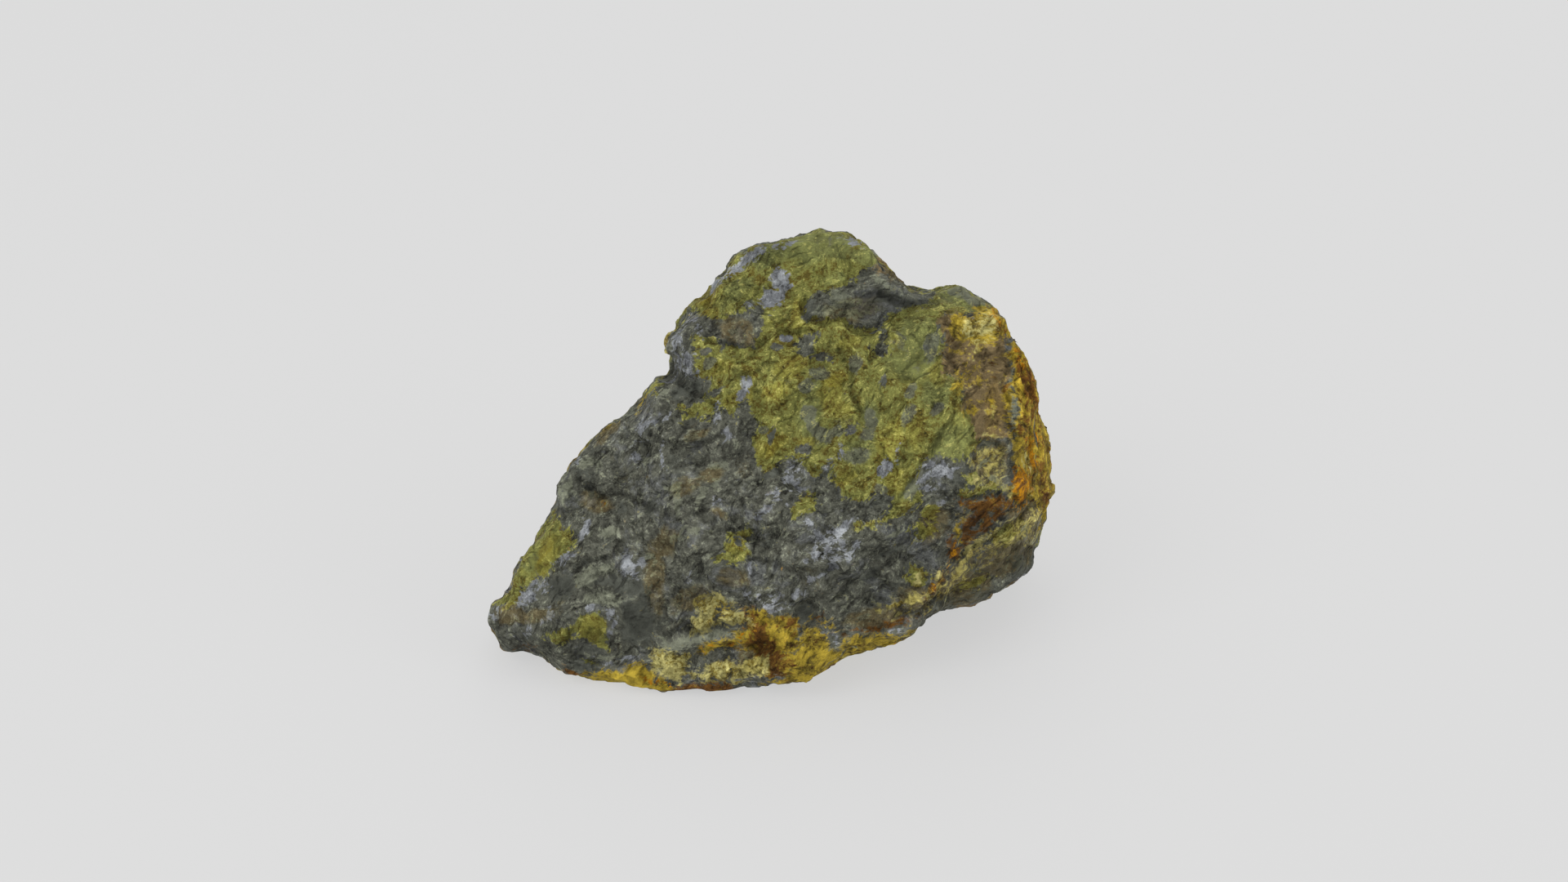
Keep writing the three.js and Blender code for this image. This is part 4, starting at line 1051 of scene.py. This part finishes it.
class Tree:
    """A material's nodes, with short ways to add them and join them."""

    def __init__(self, name):
        self.material = bpy.data.materials.new(name)
        self.material.use_nodes = True
        self.nodes = self.material.node_tree.nodes
        self.links = self.material.node_tree.links
        self.nodes.clear()

    def feed(self, value, socket):
        """Joins an output to a socket, or sets a plain value on it."""
        if isinstance(value, bpy.types.NodeSocket):
            self.links.new(value, socket)
        else:
            socket.default_value = value

    def add(self, kind, inputs=None, **settings):
        node = self.nodes.new(kind)
        for name, value in settings.items():
            setattr(node, name, value)
        for name, value in (inputs or {}).items():
            self.feed(value, node.inputs[name])
        return node

    def math(self, operation, *values):
        node = self.add("ShaderNodeMath", operation=operation)
        for socket, value in zip(node.inputs, values):
            self.feed(value, socket)
        return node.outputs[0]

    def vector(self, operation, *values, scale=None, result="Vector"):
        node = self.add("ShaderNodeVectorMath", operation=operation)
        for socket, value in zip(node.inputs, values):
            self.feed(value, socket)
        if scale is not None:
            self.feed(scale, node.inputs["Scale"])
        return node.outputs[result]

    def mix(self, share, first, second):
        """A blend of two colours."""
        node = self.add("ShaderNodeMix", data_type="RGBA", clamp_factor=True)
        for socket, value in zip((0, 6, 7), (share, first, second)):
            self.feed(value, node.inputs[socket])
        return node.outputs[2]

    def blend(self, share, first, second):
        """A blend of two numbers."""
        node = self.add("ShaderNodeMix", data_type="FLOAT", clamp_factor=True)
        for socket, value in zip((0, 2, 3), (share, first, second)):
            self.feed(value, node.inputs[socket])
        return node.outputs[0]

    def dimmed(self, amount, most):
        """1, less up to most as the amount goes from 0 to 1."""
        return self.math("SUBTRACT", 1.0, self.math("MULTIPLY", amount, most))

    def attribute(self, name):
        return self.add("ShaderNodeAttribute", attribute_name=name).outputs["Fac"]

    def cloud(self, place, scale, detail, roughness=0.55):
        return self.add("ShaderNodeTexNoise", {
            "Vector": place, "Scale": scale, "Detail": detail, "Roughness": roughness,
        })

    def channels(self, colour_of):
        """The three channels of a colour, which are three unlike patterns."""
        return self.add("ShaderNodeSeparateColor", {"Color": colour_of}).outputs

    def cells(self, place, scale, feature="F1"):
        return self.add("ShaderNodeTexVoronoi", {"Vector": place, "Scale": scale}, feature=feature).outputs

    def flakes(self, place, scale):
        """A random tone for each of many close-set angular flakes."""
        return self.channels(self.cells(place, scale)["Color"])[0]

    def chips(self, place, scale, steepness):
        """Heights in millimetres of flat chips, each tilted its own way."""
        cells = self.cells(place, scale)
        tilt = self.vector("SUBTRACT", cells["Color"], (0.5, 0.5, 0.5))
        across = self.vector("SUBTRACT", place, cells["Position"])
        return self.math("MULTIPLY", self.vector("DOT_PRODUCT", tilt, across, result="Value"), steepness)

    def cracks(self, place, scale, width):
        """1 along the edges of such chips, and 0 from width millimetres away."""
        away = self.cells(place, scale, "DISTANCE_TO_EDGE")["Distance"]
        return self.math("SUBTRACT", 1.0, self.step(away, 0.0, width * scale))

    def stretched(self, place, direction, times):
        """Places squeezed along a direction, so that a pattern on them is drawn out that way."""
        turn = Vector(direction).to_track_quat("Z", "Y").to_euler()
        return self.add("ShaderNodeMapping", {
            "Vector": place, "Rotation": turn, "Scale": (1, 1, times),
        }, vector_type="TEXTURE").outputs["Vector"]

    def pushed(self, place, scale, reach, detail=2.0):
        """Places pushed about by a cloud, reach millimetres at most."""
        cloud = self.cloud(place, scale, detail).outputs["Color"]
        drift = self.vector("SUBTRACT", cloud, (0.5, 0.5, 0.5))
        return self.vector("ADD", place, self.vector("SCALE", drift, scale=reach * 2))

    def step(self, value, low, high):
        """0 below low, 1 above high and a smooth rise between."""
        return self.add("ShaderNodeMapRange", {
            "Value": value, "From Min": low, "From Max": high,
        }, interpolation_type="SMOOTHSTEP").outputs["Result"]

    def swing(self, middle, patterns, shares):
        """middle plus each pattern's swing about a half, times its share."""
        total = middle
        for name, share in shares.items():
            total = self.math("MULTIPLY_ADD", self.math("SUBTRACT", patterns[name], 0.5), share, total)
        return total

    def shades(self, tone, stops):
        """A colour for each tone from dark to light."""
        node = self.add("ShaderNodeValToRGB", {"Fac": tone})
        elements = node.color_ramp.elements
        while len(elements) < len(stops):
            elements.new(0.5)
        for i, colour_at in enumerate(stops):
            elements[i].position = i / (len(stops) - 1)
            elements[i].color = colour_at
        return node.outputs["Color"]


def shade_of(colour_at, brightness):
    """A colour made that much brighter, with its alpha."""
    return (*(min(c * brightness, 1.0) for c in colour_at), 1)


def ore_places(tree):
    """The places that patterns are read at, in millimetres: straight, or pushed about and drawn out."""
    straight = tree.vector("SCALE", tree.add("ShaderNodeTexCoord").outputs["Object"], scale=1 / MM)
    swirled = tree.pushed(straight, 0.09, reach=3.0)
    ruffled = tree.pushed(swirled, 0.8, reach=0.35)
    return {
        "straight": straight, "swirled": swirled, "ruffled": ruffled,
        "rolled": tree.pushed(straight, 0.5, reach=1.0, detail=3.0),
        "slant": tree.stretched(ruffled, RIGHT * 0.6 + UP * 0.8, times=2.4),
        "level": tree.stretched(ruffled, RIGHT * 0.9 + UP * 0.2, times=2.4),
        "upright": tree.stretched(tree.pushed(straight, 0.12, reach=2.5), (0.1, 0.1, 1), times=3.6),
    }


def ore_patterns(tree, places):
    """The patterns that all the minerals share, each about 0 to 1."""
    patterns = {name: tree.cloud(places[at], *look).outputs["Fac"] for name, (at, *look) in CLOUDS.items()}
    for name, (at, *look) in THREEFOLD_CLOUDS.items():
        for number, channel in enumerate(tree.channels(tree.cloud(places[at], *look).outputs["Color"]), 1):
            patterns[f"{name}_{number}"] = channel
    lie_level = tree.step(patterns["drift_3"], 0.46, 0.54)
    patterns["streaks"] = tree.blend(lie_level, patterns["slant_streaks"], patterns["level_streaks"])
    for name, (slant_scale, level_scale) in GRAINS.items():
        slant, level = tree.flakes(places["slant"], slant_scale), tree.flakes(places["level"], level_scale)
        patterns[name] = tree.blend(lie_level, slant, level)
    return patterns


def ore_material(colours):
    """All the minerals in one material: each lies where its attribute passes one half, with a ragged edge."""
    tree = Tree("ore_minerals")
    places = ore_places(tree)
    patterns = ore_patterns(tree, places)
    # In the calm places every tone keeps closer to its middle.
    liveliness = tree.dimmed(tree.attribute("calm"), CALM)
    tones = {
        name: tree.math("MULTIPLY_ADD", tree.swing(0.0, patterns, shares), liveliness, 0.5)
        for name, shares in TONES.items()
    }

    def mark(name):
        start, shares, low, high = MARKS[name]
        if isinstance(start, str):
            start = patterns[start] if start in patterns else tree.attribute(start)
        return tree.step(tree.swing(start, patterns, shares), low, high)

    def coat(name):
        tone, *shades = SHADES[name]
        return tree.shades(tones[tone], [shade_of(getattr(colours, own), bright) for own, bright in shades])

    def over(base, share, most, top):
        return tree.mix(tree.math("MULTIPLY", share, most), base, top)

    # The tarnish coats go on, then painted glints: small bright highlights in the fleck colour.
    def tarnished(base, tarnish, fleck, most, bright):
        for name, share, top in tarnish:
            base = over(base, marks[name], share, coat(top))
        return over(base, marks["painted_glints"], most, shade_of(fleck, bright))

    marks = {name: mark(name) for name in MARKS}
    coats = {mineral: coat(mineral) for mineral in PATCHES}
    coats["chalcopyrite"] = tarnished(coats["chalcopyrite"], ORE_TARNISH, colours.bright_ore, *ORE_PAINTED_GLINTS)
    # Painted sheen: the galena is made brighter where it shines.
    coats["galena"] = over(coats["galena"], marks["shine"], GALENA_PAINTED_SHEEN, coat("painted_sheen_galena"))
    skin = tarnished(coat("gangue"), ROCK_TARNISH, colours.pale_gangue, *ROCK_PAINTED_GLINTS)

    roughness, metal = FINISHES["gangue"]
    for i, mineral in enumerate(PATCHES):
        shares = {f"ragged_{i % 3 + 1}": EDGE_RAGGED, **EDGE_SWINGS}
        edge = tree.swing(tree.attribute(mineral), patterns, shares)
        softness = SOFT_EDGE if mineral in SOFT_EDGED else SHARP_EDGE
        cover = tree.step(edge, 0.5 - softness, 0.5 + softness)
        skin = tree.mix(cover, skin, coats[mineral])
        roughness = tree.blend(cover, roughness, FINISHES[mineral][0])
        metal = tree.blend(cover, metal, FINISHES[mineral][1])
    skin = tree.vector("MULTIPLY", skin, over((1, 1, 1, 1), marks["browner"], BROWN_SHARE, BROWN_STAIN))

    # Painted shade along the cracks between the plates, which also sink them in the bump.
    crack = tree.math("MULTIPLY", tree.cracks(places["slant"], CRACK_PLATES, CRACK_WIDTH), marks["cracked"])
    # Painted shade: the colour is darkened in the shaded places, in creases, in hollows and along cracks, and
    # lightened on raised skin as a painted highlight; the fresh places are lighter.
    shade = tree.dimmed(tree.attribute("gloom"), PAINTED_SHADE_DARK)
    for darker in (
        tree.dimmed(tree.attribute("crease"), CREASE_PAINTED_SHADE),
        tree.blend(tree.step(tree.attribute("hollow"), *HOLLOW_DEPTHS), RAISED_PAINTED_HIGHLIGHT, SUNK_PAINTED_SHADE),
        tree.blend(marks["fresh"], 1.0, FRESH_LIGHT),
        tree.dimmed(crack, CRACK_PAINTED_SHADE),
    ):
        shade = tree.math("MULTIPLY", shade, darker)
    skin = tree.vector("SCALE", skin, scale=shade)

    height = tree.swing(0.0, {**patterns, **tones, "crack": crack}, RELIEF)
    for at, (scale, steepness) in RELIEF_CHIPS.items():
        height = tree.math("ADD", height, tree.chips(places[at], scale, steepness))
    height = tree.math("MULTIPLY", height, liveliness)
    bump = tree.add("ShaderNodeBump", {"Height": height, "Strength": 1.0, "Distance": MM})
    shader = tree.add("ShaderNodeBsdfPrincipled", {
        "Base Color": skin, "Roughness": roughness, "Metallic": metal, "Normal": bump.outputs["Normal"],
        "Specular IOR Level": SPECULAR,
    })
    tree.add("ShaderNodeOutputMaterial", {"Surface": shader.outputs["BSDF"]})
    return tree.material


class ORE_OT_stone(bpy.types.Operator):
    """Adds the stone, with its chipped skin and its minerals"""

    bl_idname = "ore.stone"
    bl_label = "Stone"

    def execute(self, context):
        noise.seed_set(NOISE_SEED)
        shape = context.scene.ore_shape
        stone = fine_skin(shape)
        raise_relief(stone, *lay_out(stone.data), shape)
        covers, _ = lay_out(stone.data)
        # The material paints shade into the hollows and a highlight onto the raised skin from this depth.
        covers["hollow"] = hollows(stone.data)
        for name, cover in covers.items():
            keep_attribute(stone.data, name, cover)
        stone.data.materials.append(ore_material(context.scene.ore_colours))
        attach(stone, "root")
        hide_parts(STONE_NODE)
        return {"FINISHED"}


# ---- The stage ----

class ORE_OT_stage(bpy.types.Operator):
    """Adds the floor, the soft lights and the camera"""

    bl_idname = "ore.stage"
    bl_label = "Stage"

    def execute(self, context):
        look = context.scene.ore_stage
        bpy.ops.object.select_all(action="DESELECT")
        bpy.ops.mesh.primitive_plane_add(size=FLOOR_SIZE)
        floor = context.object
        floor.name = "floor"
        tree = Tree("floor_paint")
        paint = tree.add("ShaderNodeBsdfPrincipled", {
            "Base Color": (*look.floor_colour, 1), "Roughness": 1.0, "Specular IOR Level": 0.0,
            "Emission Color": (1, 1, 1, 1), "Emission Strength": look.floor_glow,
        })
        tree.add("ShaderNodeOutputMaterial", {"Surface": paint.outputs["BSDF"]})
        floor.data.materials.append(tree.material)

        world = bpy.data.worlds.new("soft_sky")
        context.scene.world = world
        world.use_nodes = True
        sky = world.node_tree.nodes["Background"]
        sky.inputs["Color"].default_value = (1, 1, 1, 1)
        sky.inputs["Strength"].default_value = look.sky_strength
        for name, (place, power) in LIGHTS.items():
            bpy.ops.object.light_add(type="AREA", location=place)
            light = context.object
            light.name = name
            light.data.size = LIGHT_SIZE
            light.data.energy = getattr(look, power)
            self.aim(light, HEART * MM)

        bpy.ops.object.camera_add(location=HEART * MM + TOWARDS * SIGHT_DISTANCE * MM)
        camera = context.object
        camera.name = "camera"
        camera.data.lens = LENS
        camera.data.sensor_width = SENSOR_WIDTH
        self.aim(camera, HEART * MM + UP * AIM_RISE * MM)
        context.scene.camera = camera
        context.scene.view_settings.view_transform = "Standard"
        return {"FINISHED"}

    @staticmethod
    def aim(piece, target):
        """Turns a light or the camera towards a point."""
        piece.rotation_euler = (target - piece.location).to_track_quat("-Z", "Y").to_euler()


# ---- Panel and main ----

class ORE_PT_panel(bpy.types.Panel):
    """Lists the pieces and their settings"""

    bl_idname = "ORE_PT_panel"
    bl_label = "Ore Stone"
    bl_space_type = "VIEW_3D"
    bl_region_type = "UI"
    bl_category = "Ore Stone"

    def draw(self, context):
        operators = {"ore_shape": ORE_OT_stone, "ore_stage": ORE_OT_stage}
        for settings in SETTINGS:
            group = getattr(context.scene, settings)
            box = self.layout.box()
            if settings in operators:
                box.operator(operators[settings].bl_idname)
            for name in group.__annotations__:
                box.prop(group, name)


SETTINGS = {"ore_shape": OreShape, "ore_colours": OreColours, "ore_stage": OreStage}
CLASSES = (*SETTINGS.values(), ORE_OT_stone, ORE_OT_stage, ORE_PT_panel)


def register():
    for cls in CLASSES:
        bpy.utils.register_class(cls)
    for name, group in SETTINGS.items():
        setattr(bpy.types.Scene, name, PointerProperty(type=group))


def unregister():
    for name in SETTINGS:
        delattr(bpy.types.Scene, name)
    for cls in reversed(CLASSES):
        bpy.utils.unregister_class(cls)


def main():
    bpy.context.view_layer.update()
    register()
    bpy.ops.ore.stone()
    bpy.ops.ore.stage()


if __name__ == "__main__":
    main()
